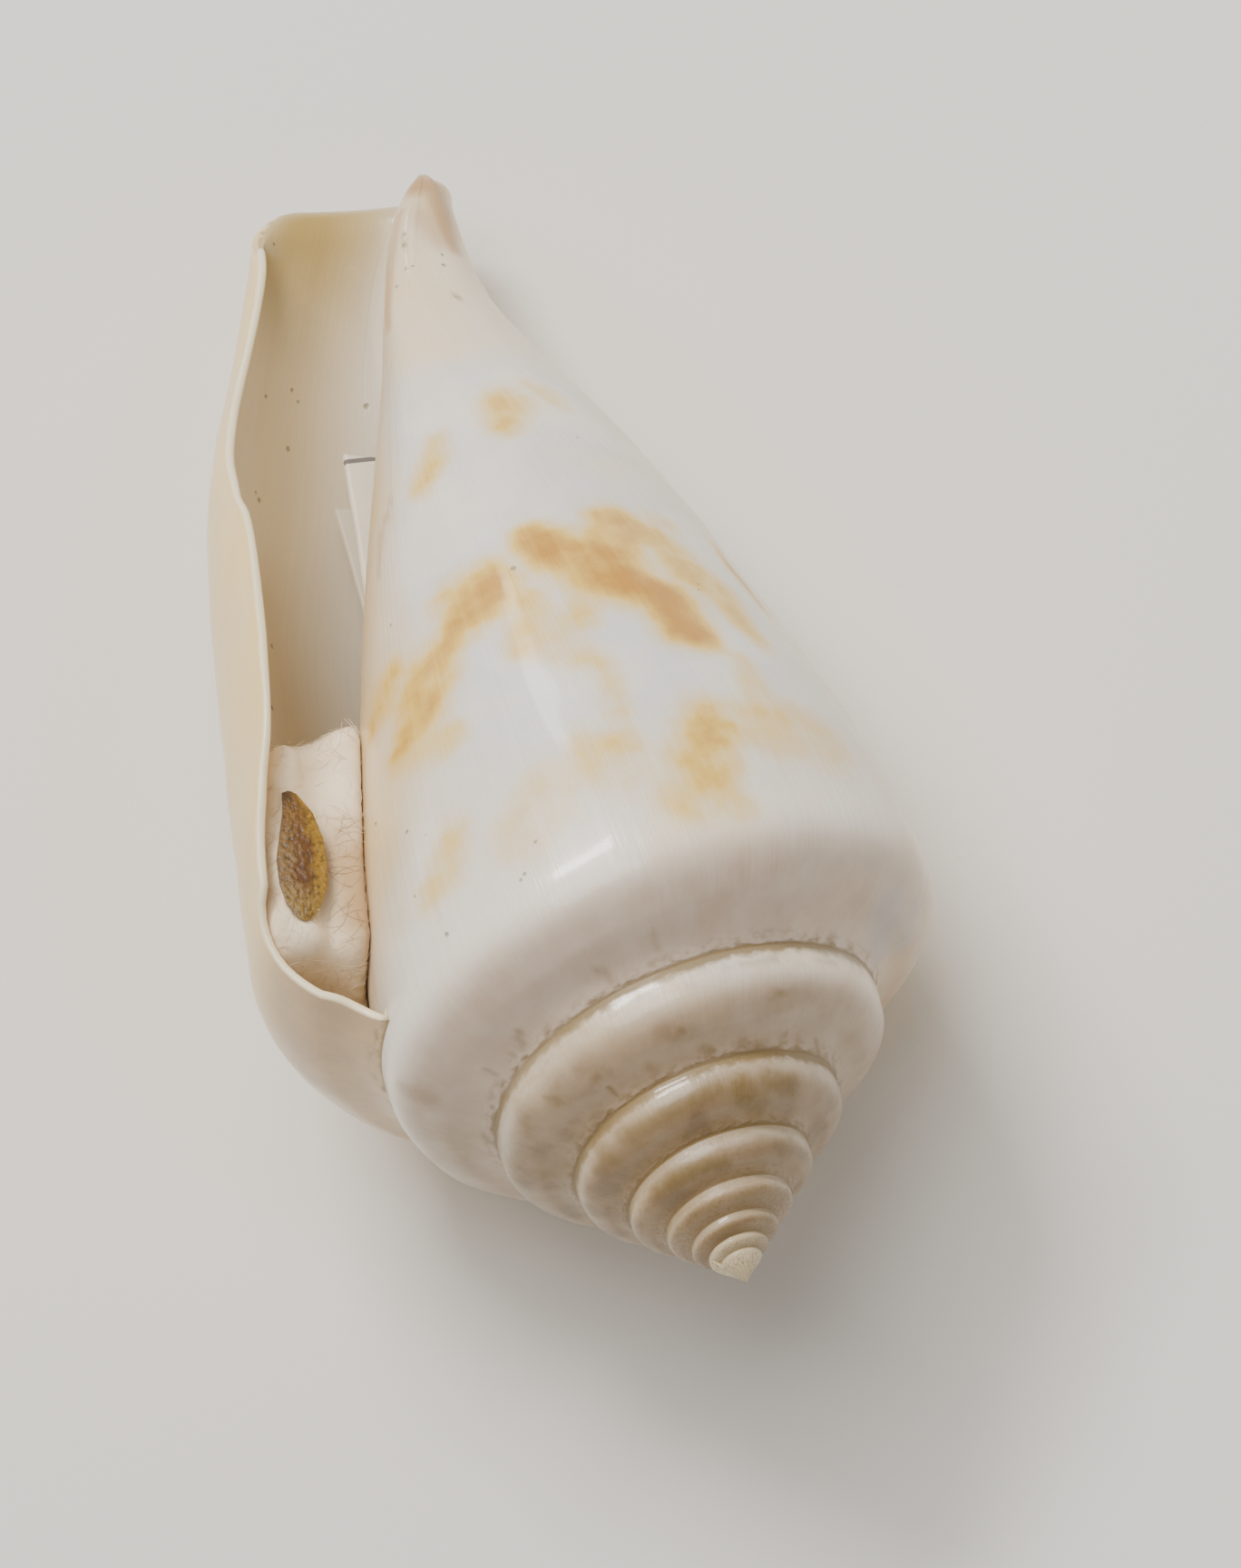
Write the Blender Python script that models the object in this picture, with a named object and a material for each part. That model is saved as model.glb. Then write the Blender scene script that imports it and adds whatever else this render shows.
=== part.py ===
# A museum specimen of a cone shell, lying on its back with the aperture up.
# The shell is one closed solid. Its whorls follow a spiral that shrinks by a fixed
# ratio each turn, counted back from the lip: growth angle 0 is the lip, 360 degrees
# is one whorl earlier. A cotton wad, the operculum and two slips lie in the aperture.
import math

import bmesh
import bpy
import numpy as np
from mathutils import Matrix, Vector

MM = 0.001
TURN = 2 * math.pi

# Growth: size of a whorl against the next newer one, across and along the axis
WHORL_RATIO = 0.6845
HEIGHT_RATIO = 0.6736
LIP_TIGHTENING = 0.082
LIP_STRETCH = 0.036
WHORL_COUNT = 8
APEX_HEIGHT = 0.15
LIP_ANGLE = math.radians(-30.4)

# Section of the last whorl, in mm: radius out from the axis, depth below the apex
SHELL_LENGTH = 57.2
SHOULDER_RADIUS = 17.6
SHOULDER_DEPTH = 17.9
SHOULDER_ROUND = 3.3
SHOULDER_FULLNESS = 0.8
LIP_SHOULDER_FULLNESS = 0.62
RAMP_SAG = 0.33
SIDE_SLOPE = 0.08
LIP_SIDE_SLOPE = 0.19
TIP_RADIUS = 0.63
TIP_ROUND_START = 0.93
TIP_ROUND_FROM = math.radians(110)
TIP_ROUND_FULL = math.radians(200)
KNOB_SWELL = 0.5
KNOB_AT = 0.94
KNOB_REACH = 0.07
SIDE_END_PULL = 10.1
SIDE_BULGE = 1.3
SIDE_WAVE = -0.52
TIP_BEND = (-1.16, 0.34)
FINGER_BEND = -2.5
FINGER_START = 0.85
FINGER_FULL = math.radians(110)
FINGER_SLIMMING = 0.5
SLIMMING_START = 0.84

# The outer lip stands away from the spiral, most of all towards the anterior end
FLARE_TOP = 0.6
FLARE_MIDDLE = 10.1
FLARE_END = 4.8
FLARE_FADE = math.radians(375)
FLARE_END_FADE = math.radians(240)
FLARE_POWER = 0.6

# How far the lip edge runs ahead of the growth angle, in degrees, down the side
LIP_LEAD_AT = (0, 0.12, 0.25, 0.4, 0.55, 0.7, 0.83, 0.93, 1)
LIP_LEAD = (3.5, -7.6, -11.3, -13.2, -8.4, -6.4, -7.6, -7.6, -7.6)
LIP_CORNER_TURN = 12.7
LIP_LEAD_FADE = math.radians(200)

# Depth of the anterior rim below the apex, in mm, round from the lip
RIM_AT = (0, 45, 90, 135, 180, 230)
RIM_DEPTH = (56.7, 58.7, 58.5, 57.6, 57.4, SHELL_LENGTH)

# The wall between the outside and the aperture's hollow, in mm
LIP_THICKNESS = 0.42
WALL_THICKNESS = 1.5
WALL_FULL_AT = math.radians(50)
LEAST_GAP = 0.45

# Mesh steps
STEPS_PER_WHORL = 40
HOLLOW_STEPS = 23
RAMP_STEPS = 5
SHOULDER_STEPS = 3
SIDE_STEPS = 20
SIDE_CROWDING = 1.3

# Cotton wad: where its front and back stand round the axis, and how far down the side it ends
WAD_FRONT = (math.radians(-31), math.radians(-23))
WAD_BACK = math.radians(20)
WAD_TOP = (1.45, 2.08)
WAD_END_DEPTH = (28.8, 29.2)
WAD_CLEARANCE = 0.32
WAD_CUTS = 6
WAD_SQUARENESS = 12

# Operculum, in mm, in the grown shell's axes: its narrow end, its broad end, width, thickness
OPERCULUM_ENDS = ((10.65, -6.5, -26.4), (11.3, -6.9, -20.0))
OPERCULUM_WIDTH = 2.3
OPERCULUM_THICKNESS = 0.4
ACROSS_APERTURE = (0.88, -0.47, 0)

# Slips of paper, in mm: the two ends of the outer edge, width, thickness
LABEL_EDGE = ((3.9, 2.5, -46.4), (5.35, 2.5, -37.3))
LABEL_SIZE = (3.6, 0.2)
BACKING_EDGE = ((5.05, 3.9, -44.8), (5.5, 3.9, -38.2))
BACKING_SIZE = (2.6, 0.15)
ACROSS_SLIPS = (-0.8, 0.6, 0)

# Rest: turns of the grown shell into the lying one, and the point that becomes the origin
REST_DIP = math.radians(-10)
REST_POINT = (-0.3, 24.0, -17.4)


def ease(x):
    x = np.clip(x, 0, 1)
    return x * x * (3 - 2 * x)


def curve_through(xs, ys, x):
    """A smooth curve through the knots, level with its first and last beyond them."""
    xs, ys = np.array(xs, float), np.array(ys, float)
    slope = np.gradient(ys, xs)
    x = np.clip(x, xs[0], xs[-1])
    i = np.clip(np.searchsorted(xs, x, side="right") - 1, 0, len(xs) - 2)
    width = xs[i + 1] - xs[i]
    t = (x - xs[i]) / width
    start = (2 * t**3 - 3 * t**2 + 1) * ys[i] + (t**3 - 2 * t**2 + t) * width * slope[i]
    end = (3 * t**2 - 2 * t**3) * ys[i + 1] + (t**3 - t**2) * width * slope[i + 1]
    return start + end


def shoulder(theta):
    """Corner, rounding, side slope and fullness of the shoulder at a growth angle."""
    near_lip = np.clip(1 - theta / (1.5 * TURN), 0, 1) ** 2
    across = WHORL_RATIO ** (theta / TURN)
    along = HEIGHT_RATIO ** (theta / TURN)
    size = across * (1 - LIP_TIGHTENING * near_lip)
    depth = SHOULDER_DEPTH * along * (1 + LIP_STRETCH * near_lip)
    lip = ease(1 - theta / math.pi)
    slope = SIDE_SLOPE + (LIP_SIDE_SLOPE - SIDE_SLOPE) * lip
    full = SHOULDER_FULLNESS + (LIP_SHOULDER_FULLNESS - SHOULDER_FULLNESS) * lip
    return SHOULDER_RADIUS * size, -depth, SHOULDER_ROUND * size, slope, full


def side_top(theta):
    """Where the side of a whorl begins, and the next whorl's suture runs."""
    r, z, rounding, slope, _ = shoulder(theta)
    return r - rounding * np.sin(slope), z - rounding * np.cos(slope)


def ramp_and_shoulder(theta, v):
    r, z, rounding, slope, fullness = shoulder(theta)
    start_r, start_z = side_top(theta + TURN)
    run = np.hypot(r - start_r, z - start_z)
    out, down = (r - start_r) / run, (z - start_z) / run
    top_r, top_z = r - rounding * out, z - rounding * down
    end_r, end_z = side_top(theta)
    t = np.clip(v, 0, 1)
    sag = RAMP_SAG * r / SHOULDER_RADIUS * np.sin(math.pi * t)
    ramp_r = start_r + t * (top_r - start_r) + sag * down
    ramp_z = start_z + t * (top_z - start_z) - sag * out
    t = np.clip(v - 1, 0, 1)
    corner_share = 3 * t * (1 - t) * fullness
    top_share = (1 - t) ** 3 + 3 * t * (1 - t) ** 2 * (1 - fullness)
    end_share = t**3 + 3 * t**2 * (1 - t) * (1 - fullness)
    round_r = top_share * top_r + corner_share * r + end_share * end_r
    round_z = top_share * top_z + corner_share * z + end_share * end_z
    return np.where(v <= 1, ramp_r, round_r), np.where(v <= 1, ramp_z, round_z)


def flare(theta, fade):
    return np.maximum(1 - ease(theta / fade), 1e-9) ** FLARE_POWER


def side(theta, u):
    top_r, top_z = side_top(theta)
    slope = shoulder(theta)[3]
    rim_z = -curve_through(np.radians(RIM_AT), RIM_DEPTH, theta)
    pull = -np.tan(slope) * (top_z - rim_z)
    r = (2 * u**3 - 3 * u**2 + 1) * top_r + (u**3 - 2 * u**2 + u) * pull
    r = r + (3 * u**2 - 2 * u**3) * TIP_RADIUS + (u**3 - u**2) * SIDE_END_PULL
    r = r + 16 * SIDE_BULGE * (u * (1 - u)) ** 2 + 4 * SIDE_WAVE * np.sin(TURN * u) * u * (1 - u)
    stand = FLARE_TOP * 3 * u * (1 - u) ** 2 + FLARE_MIDDLE * 3 * u**2 * (1 - u)
    stand = flare(theta, FLARE_FADE) * stand + flare(theta, FLARE_END_FADE) * FLARE_END * u**3
    closed = ease((theta - TIP_ROUND_FROM) / (TIP_ROUND_FULL - TIP_ROUND_FROM))
    r = r + stand * (1 - FINGER_SLIMMING * closed * ease((u - SLIMMING_START) / (1 - SLIMMING_START)))
    r = r + closed * KNOB_SWELL * np.exp(-(((u - KNOB_AT) / KNOB_REACH) ** 2))
    near_tip = np.clip((u - TIP_ROUND_START) / (1 - TIP_ROUND_START), 0, 1)
    r = r * (1 - closed + closed * np.sqrt(np.clip(1 - near_tip**2, 0.05, 1)))
    return r, top_z + (rim_z - top_z) * u


def section(theta, v):
    """Outer surface of the whorl: v is 0 to 1 on the ramp, to 2 on the shoulder, to 3 down the side."""
    theta, v = np.broadcast_arrays(np.asarray(theta, float), np.asarray(v, float))
    top_r, top_z = ramp_and_shoulder(theta, v)
    side_r, side_z = side(theta, np.clip(v - 2, 0, 1))
    return np.where(v <= 2, top_r, side_r), np.where(v <= 2, top_z, side_z)


def lead(theta, v):
    """Angle by which the lip edge, and less and less the whorl behind it, runs ahead."""
    u = np.clip(v - 2, 0, 1)
    down_side = curve_through(LIP_LEAD_AT, LIP_LEAD, u)
    corner = np.clip((u - TIP_ROUND_START) / (1 - TIP_ROUND_START), 0, 1)
    down_side = down_side + LIP_CORNER_TURN * (1 - np.sqrt(np.clip(1 - corner**2, 1e-4, 1)))
    angle = np.where(v <= 2, LIP_LEAD[0] * ease(v / 2), down_side)
    return np.radians(angle) * (1 - ease(theta / LIP_LEAD_FADE))


def place(theta, v, r, z):
    """A point of the section at a growth angle, in the grown shell's own axes."""
    angle = LIP_ANGLE + theta + lead(theta, v)
    bend = np.clip((-z / SHELL_LENGTH - 0.5) / 0.5, 0, 1) ** 2
    finger = np.clip((-z / SHELL_LENGTH - FINGER_START) / (1 - FINGER_START), 0, 1) ** 2
    x = r * np.cos(angle) + TIP_BEND[0] * bend + FINGER_BEND * finger * ease(theta / FINGER_FULL)
    y = r * np.sin(angle) + TIP_BEND[1] * bend
    return np.stack([x, y, z], -1)


def wall(theta):
    return LIP_THICKNESS + (WALL_THICKNESS - LIP_THICKNESS) * ease(theta / WALL_FULL_AT)


def inset_section(theta, v, depth):
    """The section moved inwards by a depth, and kept off the older whorl inside it."""
    step = 0.002
    v = np.asarray(v, float)
    r, z = section(theta, v)
    r0, z0 = section(theta, v - step)
    r1, z1 = section(theta, v + step)
    length = np.hypot(r1 - r0, z1 - z0) + 1e-12
    r = r + depth * (z1 - z0) / length
    z = z - depth * (r1 - r0) / length
    return np.maximum(r, core_radius(theta, z) + LEAST_GAP), z


def core_radius(theta, z):
    """Radius of the older whorl's side at the depths z, seen from the whorl outside it."""
    u = np.linspace(0, 1, 200)
    core_r, core_z = side(theta + TURN, u)
    return np.interp(z, core_z[::-1], core_r[::-1])


def bridge(mesh, first, second):
    """Triangles between two lines of vertices that start and end side by side."""
    i = j = 0
    while i < len(first) - 1 or j < len(second) - 1:
        on_first = math.inf
        on_second = math.inf
        if i < len(first) - 1:
            on_first = (first[i + 1].co - second[j].co).length
        if j < len(second) - 1:
            on_second = (second[j + 1].co - first[i].co).length
        corners = [first[i], second[j]]
        if on_first < on_second:
            i += 1
            corners.append(first[i])
        else:
            j += 1
            corners.append(second[j])
        if len(set(corners)) == 3:
            mesh.faces.new(corners)


def strip(mesh, first, second):
    """Quads between two lines with the same number of vertices."""
    for k in range(len(first) - 1):
        corners = [first[k], first[k + 1], second[k + 1], second[k]]
        whole = [c for n, c in enumerate(corners) if c not in corners[:n]]
        if len(whole) > 2:
            mesh.faces.new(whole)


def face_outwards(mesh):
    bmesh.ops.recalc_face_normals(mesh, faces=mesh.faces)
    if mesh.calc_volume(signed=True) < 0:
        bmesh.ops.reverse_faces(mesh, faces=mesh.faces)


def section_rows(mesh, v, per_whorl, rows, hollow):
    """Vertices of the outer surface: row by growth angle, column by place on the section."""
    suture = RAMP_STEPS + SHOULDER_STEPS
    made = []
    for row in range(rows + 1):
        theta = TURN * row / per_whorl
        columns = len(v) if row <= per_whorl + hollow else suture + 1
        points = place(theta, v[:columns], *section(theta, v[:columns]))
        made.append([mesh.verts.new(p) if k else None for k, p in enumerate(points)])
    apex = mesh.verts.new((0, 0, APEX_HEIGHT))
    for row in range(rows + 1):
        older = row + per_whorl
        made[row][0] = made[older][suture] if older <= rows else apex
    return made


def hollow_rows(mesh, outer, v, per_whorl, hollow):
    """Vertices of the aperture's outer wall, each row starting on the older whorl."""
    suture = RAMP_STEPS + SHOULDER_STEPS
    made = []
    for row in range(hollow + 1):
        theta = TURN * row / per_whorl
        r, z = inset_section(theta, v, wall(theta))
        points = place(theta, v, r, z)
        start = outer[row + per_whorl][suture + 1]
        made.append([start] + [mesh.verts.new(p) for p in points])
    return made


def shell_mesh():
    ramp = np.linspace(0, 1, RAMP_STEPS + 1)
    shoulder_v = np.linspace(1, 2, SHOULDER_STEPS + 1)[1:]
    side_v = 3 - np.linspace(1, 0, SIDE_STEPS + 1)[1:] ** SIDE_CROWDING
    hollow_v = np.concatenate([[0.4, 0.75, 1], shoulder_v, np.linspace(2, 3, 14)[1:]])
    per_whorl = STEPS_PER_WHORL
    hollow = HOLLOW_STEPS
    rows = WHORL_COUNT * per_whorl
    suture = RAMP_STEPS + SHOULDER_STEPS
    mesh = bmesh.new()
    outer = section_rows(mesh, np.concatenate([ramp, shoulder_v, side_v]), per_whorl, rows, hollow)
    inner = hollow_rows(mesh, outer, hollow_v, per_whorl, hollow)
    for row in range(rows):
        first, second = outer[row], outer[row + 1]
        if row < per_whorl:
            strip(mesh, first, second)
        else:
            strip(mesh, first[: suture + 1], second[: suture + 1])
    for row in range(hollow):
        strip(mesh, outer[row + per_whorl][suture + 1 :], outer[row + per_whorl + 1][suture + 1 :])
        strip(mesh, inner[row], inner[row + 1])
        strip(mesh, [outer[row][-1], outer[row + 1][-1]], [inner[row][-1], inner[row + 1][-1]])
    mesh.faces.new(outer[rows])
    body_start = outer[per_whorl]
    bridge(mesh, outer[0], [body_start[suture]] + inner[0])
    bridge(mesh, inner[hollow], outer[per_whorl + hollow][suture + 1 :])
    tip = [outer[row][-1] for row in range(hollow, per_whorl + hollow + 1)] + [inner[hollow][-1]]
    centre = mesh.verts.new((TIP_BEND[0] + FINGER_BEND, TIP_BEND[1], -SHELL_LENGTH - 0.15))
    strip(mesh, tip + [tip[0]], [centre] * (len(tip) + 1))
    face_outwards(mesh)
    return mesh


def wall_point(angle, v, depth):
    """A point under the outer wall at an angle round the axis, with the growth angle found there."""
    theta = angle - LIP_ANGLE
    for _ in range(6):
        theta = np.maximum(angle - LIP_ANGLE - lead(theta, v), 0)
    return place(theta, v, *inset_section(theta, v, wall(theta) + depth))


def core_point(angle, z, depth):
    """A point beside the older whorl at an angle round the axis and a depth below the apex."""
    theta = angle - LIP_ANGLE
    return place(theta + TURN, 2, core_radius(theta, z) + depth, z)


def wad_point(into, along, across):
    """Maps the unit cube onto the wad: into the aperture, towards the anterior end, wall to core."""
    front = WAD_FRONT[0] + (WAD_FRONT[1] - WAD_FRONT[0]) * across
    angle = front + (WAD_BACK - front) * into
    theta = angle - LIP_ANGLE
    u = np.linspace(0, 0.6, 60)
    wall_end = 2 + np.interp(WAD_END_DEPTH[0], -side(theta, u)[1], u)
    outer = wall_point(angle, WAD_TOP[0] + (wall_end - WAD_TOP[0]) * along, WAD_CLEARANCE)
    core_top = side(theta + TURN, WAD_TOP[1] - 2)[1]
    inner = core_point(angle, core_top + (-WAD_END_DEPTH[1] - core_top) * along, WAD_CLEARANCE)
    point = outer + (inner - outer) * across
    swell = math.sin(math.pi * across)
    point[2] -= swell * (0.5 * (1 - along) ** 2 + 0.5 * along**4)
    return point


def wad_mesh():
    mesh = bmesh.new()
    bmesh.ops.create_cube(mesh, size=2)
    bmesh.ops.subdivide_edges(mesh, edges=mesh.edges, cuts=WAD_CUTS, use_grid_fill=True)
    for vert in mesh.verts:
        size = sum(abs(c) ** WAD_SQUARENESS for c in vert.co) ** (1 / WAD_SQUARENESS)
        vert.co = wad_point(*((c / size + 1) / 2 for c in vert.co))
    face_outwards(mesh)
    return mesh


def operculum_mesh():
    narrow, broad = Vector(OPERCULUM_ENDS[0]), Vector(OPERCULUM_ENDS[1])
    axis = broad - narrow
    across = Vector(ACROSS_APERTURE)
    across = (across - across.project(axis)).normalized()
    facing = axis.normalized().cross(across)
    mesh = bmesh.new()
    bmesh.ops.create_uvsphere(mesh, u_segments=20, v_segments=12, radius=1)
    for vert in mesh.verts:
        x, y, z = vert.co
        taper = 0.78 + 0.22 * z - 0.1 * z * z
        sideways = across * (x * taper + 0.12 * (1 - z * z)) * OPERCULUM_WIDTH / 2
        vert.co = narrow + axis * (z + 1) / 2 + sideways + facing * y * OPERCULUM_THICKNESS / 2
    face_outwards(mesh)
    return mesh


def slip_mesh(edge, size):
    """A flat slip of paper from its outer edge, with its width and thickness."""
    top, foot = Vector(edge[0]), Vector(edge[1])
    length = foot - top
    across = Vector(ACROSS_SLIPS)
    across = (across - across.project(length)).normalized()
    facing = length.normalized().cross(across)
    mesh = bmesh.new()
    bmesh.ops.create_cube(mesh, size=1)
    for vert in mesh.verts:
        x, y, z = vert.co
        vert.co = top + length * (x + 0.5) + across * size[0] * (y + 0.5) + facing * size[1] * z
    face_outwards(mesh)
    return mesh


def lying(mesh):
    """Turns the grown piece, apex up, into the lying one, aperture up, and sets it in metres."""
    turn = Matrix.Rotation(REST_DIP, 4, "X") @ Matrix.Rotation(math.radians(90), 4, "X")
    turn = turn @ Matrix.Rotation(math.pi, 4, "Z")
    mesh.transform(Matrix.Scale(MM, 4) @ Matrix.Translation(-Vector(REST_POINT)) @ turn)


def cut_flat_spot(mesh):
    """Takes off what lies below the floor, and closes the cut with one flat face."""
    everything = mesh.verts[:] + mesh.edges[:] + mesh.faces[:]
    cut = bmesh.ops.bisect_plane(
        mesh, geom=everything, dist=1e-7, plane_co=(0, 0, 0), plane_no=(0, 0, -1), clear_outer=True
    )
    rim = [item for item in cut["geom_cut"] if isinstance(item, bmesh.types.BMEdge)]
    bmesh.ops.holes_fill(mesh, edges=rim, sides=0)


def coloured(name, colour, roughness):
    material = bpy.data.materials.new(name)
    material.use_nodes = True
    shader = material.node_tree.nodes["Principled BSDF"]
    shader.inputs["Base Color"].default_value = (*colour, 1)
    shader.inputs["Roughness"].default_value = roughness
    shader.inputs["Metallic"].default_value = 0
    return material


def add_object(name, mesh, material, collection):
    data = bpy.data.meshes.new(name)
    mesh.to_mesh(data)
    mesh.free()
    data.materials.append(material)
    piece = bpy.data.objects.new(name, data)
    collection.objects.link(piece)
    data.shade_smooth()
    data.set_sharp_from_angle(angle=math.radians(40))
    return piece


def new_collection(name):
    collection = bpy.data.collections.new(name)
    bpy.context.scene.collection.children.link(collection)
    return collection


def main():
    for old in list(bpy.data.objects):
        bpy.data.objects.remove(old, do_unlink=True)
    parts = new_collection("cone_shell_specimen")
    cotton = coloured("cotton_wool", (0.76, 0.66, 0.56), 0.95)
    paper = coloured("white_paper", (0.85, 0.83, 0.78), 0.8)
    pieces = {
        "shell": (shell_mesh(), coloured("porcelain_shell", (0.80, 0.74, 0.64), 0.3)),
        "cotton_plug": (wad_mesh(), cotton),
        "operculum": (operculum_mesh(), coloured("horn", (0.32, 0.17, 0.05), 0.45)),
        "paper_label": (slip_mesh(LABEL_EDGE, LABEL_SIZE), paper),
        "backing_slip": (slip_mesh(BACKING_EDGE, BACKING_SIZE), coloured("grey_paper", (0.55, 0.53, 0.5), 0.8)),
    }
    for name, (mesh, material) in pieces.items():
        lying(mesh)
        if name == "shell":
            cut_flat_spot(mesh)
        add_object(name, mesh, material, parts)


main()
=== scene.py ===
import math

import bmesh
import bpy
import numpy as np
from mathutils import Matrix, Vector, noise
from mathutils.bvhtree import BVHTree


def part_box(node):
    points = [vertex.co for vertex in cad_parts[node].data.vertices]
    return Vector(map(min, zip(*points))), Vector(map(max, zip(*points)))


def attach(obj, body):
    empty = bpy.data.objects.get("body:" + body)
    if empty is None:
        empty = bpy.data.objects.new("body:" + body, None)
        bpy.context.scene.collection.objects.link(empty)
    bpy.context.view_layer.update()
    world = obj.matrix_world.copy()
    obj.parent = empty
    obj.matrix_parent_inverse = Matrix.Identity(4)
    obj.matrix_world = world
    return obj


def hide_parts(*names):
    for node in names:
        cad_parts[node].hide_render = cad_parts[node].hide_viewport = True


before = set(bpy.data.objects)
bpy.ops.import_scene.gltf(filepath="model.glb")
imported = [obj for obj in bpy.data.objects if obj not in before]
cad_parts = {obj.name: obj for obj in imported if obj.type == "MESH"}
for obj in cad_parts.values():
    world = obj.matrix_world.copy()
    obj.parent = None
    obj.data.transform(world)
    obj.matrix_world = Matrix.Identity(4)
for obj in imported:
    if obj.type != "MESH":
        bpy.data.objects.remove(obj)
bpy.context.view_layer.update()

tau = 2 * math.pi
mm = 0.001


def feedNode(tree, node, inputs):
    # an input takes another node's output or a plain value
    for key, value in inputs.items():
        if isinstance(value, bpy.types.NodeSocket):
            tree.links.new(value, node.inputs[key])
        else:
            node.inputs[key].default_value = value


def addNode(tree, kind, settings=None, inputs=None):
    node = tree.nodes.new(kind)
    for name, value in (settings or {}).items():
        if name == "points":  # the ones that a float curve runs through
            line = node.mapping.curves[0]
            while len(line.points) < len(value):
                line.points.new(0.5, 0.5)
            for point, location in zip(line.points, value):
                point.location = location
            node.mapping.use_clip = False
            node.mapping.update()
        else:
            setattr(node, name, value)
    feedNode(tree, node, inputs or {})
    return node


def addFormula(tree, known, steps):
    # each step: a name for the result, what is done, and numbers or names it is done to; EASE
    # goes smoothly from 0 at its first number to 1 at its second
    for name, operation, *operands in steps:
        inputs = {k: known[o] if isinstance(o, str) else o for k, o in enumerate(operands)}
        if operation == "EASE":
            node = addNode(tree, "ShaderNodeMapRange", {"interpolation_type": "SMOOTHSTEP"}, inputs)
        else:
            word, _, clamp = operation.partition(" ")
            node = addNode(tree, "ShaderNodeMath", {"operation": word, "use_clamp": bool(clamp)}, inputs)
        known[name] = node.outputs[0]
    return known


# The camera stands where the photograph's did, a long lens looking down on the aperture
view = {
    "place": (0.00274, -0.15348, 0.44774),
    "back": (0.0, -0.3331, 0.9429),
    "up": (0.3543, 0.8817, 0.3115),
    "lens": 246.26,
    "sensor": 36,
    "farthest": 10,
}
photo = {"width": 1368, "height": 1728, "pixelsPerMm": 25}
back = Vector(view["back"]).normalized()
upward = Vector(view["up"])
upward = (upward - back * upward.dot(back)).normalized()
camera = bpy.data.objects.new("camera", bpy.data.cameras.new("camera"))
bpy.context.scene.collection.objects.link(camera)
turned = Matrix((upward.cross(back), upward, back)).transposed().to_4x4()
camera.matrix_world = Matrix.Translation(view["place"]) @ turned
camera.data.lens = view["lens"]
camera.data.sensor_width = view["sensor"]
camera.data.clip_end = view["farthest"]
bpy.context.scene.camera = camera
print("camera set")


# The shell grows as a spiral: the growth angle runs back from the lip, and the place on a
# whorl's section runs 0 to 1 over the ramp, to 2 over the shoulder, to 3 down the side
shellSizes = {
    "whorlRatio": 0.6845,
    "heightRatio": 0.6736,
    "lipTightening": 0.082,
    "lipStretch": 0.036,
    "shoulderRadius": 17.6,
    "shoulderDepth": 17.9,
    "shoulderRound": 3.3,
    "shoulderFull": 0.8,
    "rampSag": 0.33,
    "sideSlope": 0.08,
    "lipSideSlope": 0.19,
    "tipRadius": 0.63,
    "sidePull": 10.1,
    "sideBulge": 1.3,
    "sideWave": -0.52,
    "knobSwell": 0.5,
    "flareTop": 0.6,
    "flareMiddle": 10.1,
    "flareEnd": 4.8,
    "lipThickness": 0.42,
    "wallThickness": 1.5,
    "sutureDepth": 0.04,
    "unevenness": 0.05,
}
shellShape = {
    "whorls": 8,
    "rowsPerWhorl": 200,
    "hollowRows": 116,
    "rampColumns": 24,
    "sideColumns": 76,
    "edgeRows": 5,
    "crowding": 1.3,  # how much closer the columns lie by the suture and the rim
    "cutStep": 0.002,  # from a place to those beside it that give the surface's slope
    "weld": 0.00008,  # points closer than this, in mm, become one
    "unevenScale": 0.22,  # swells of the uneven surface in a mm
    "lipShoulder": -0.18,  # how much less full the shoulder is at the lip
    "cornerLead": 17.6,  # degrees that the lip's front corner runs ahead
    "sharpEdge": math.radians(42),
    "lipAngle": math.radians(-30.4),
    "length": 57.2,
    "apexHeight": 0.15,
    "rimAt": (0, 8, 15.5, 23, 30, 45, 75, 100, 135, 180, 230),
    "rimDepth": (56.2, 57.25, 58.05, 58.7, 59.15, 59.2, 58.8, 58.25, 57.6, 57.4, 57.2),
    "leadAt": (0, 0.26, 0.5, 0.75, 1.2, 1.4, 1.7, 2.0, 2.12, 2.25, 2.4, 2.55, 2.7, 2.83, 2.93, 3),
    "lead": (0, 4.1, 5.0, 4.8, 5.2, 5.3, 4.0, -0.7, -6.5, -12.0, -13.2, -7.2, 3.7, 7.9, 6.4, 5.4),
    "tipBend": (-1.16, 0.34),
    "fingerBend": -2.5,
    "restDip": math.radians(-10),
    "restPoint": (-0.3, 24.0, -17.4),
}


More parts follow.
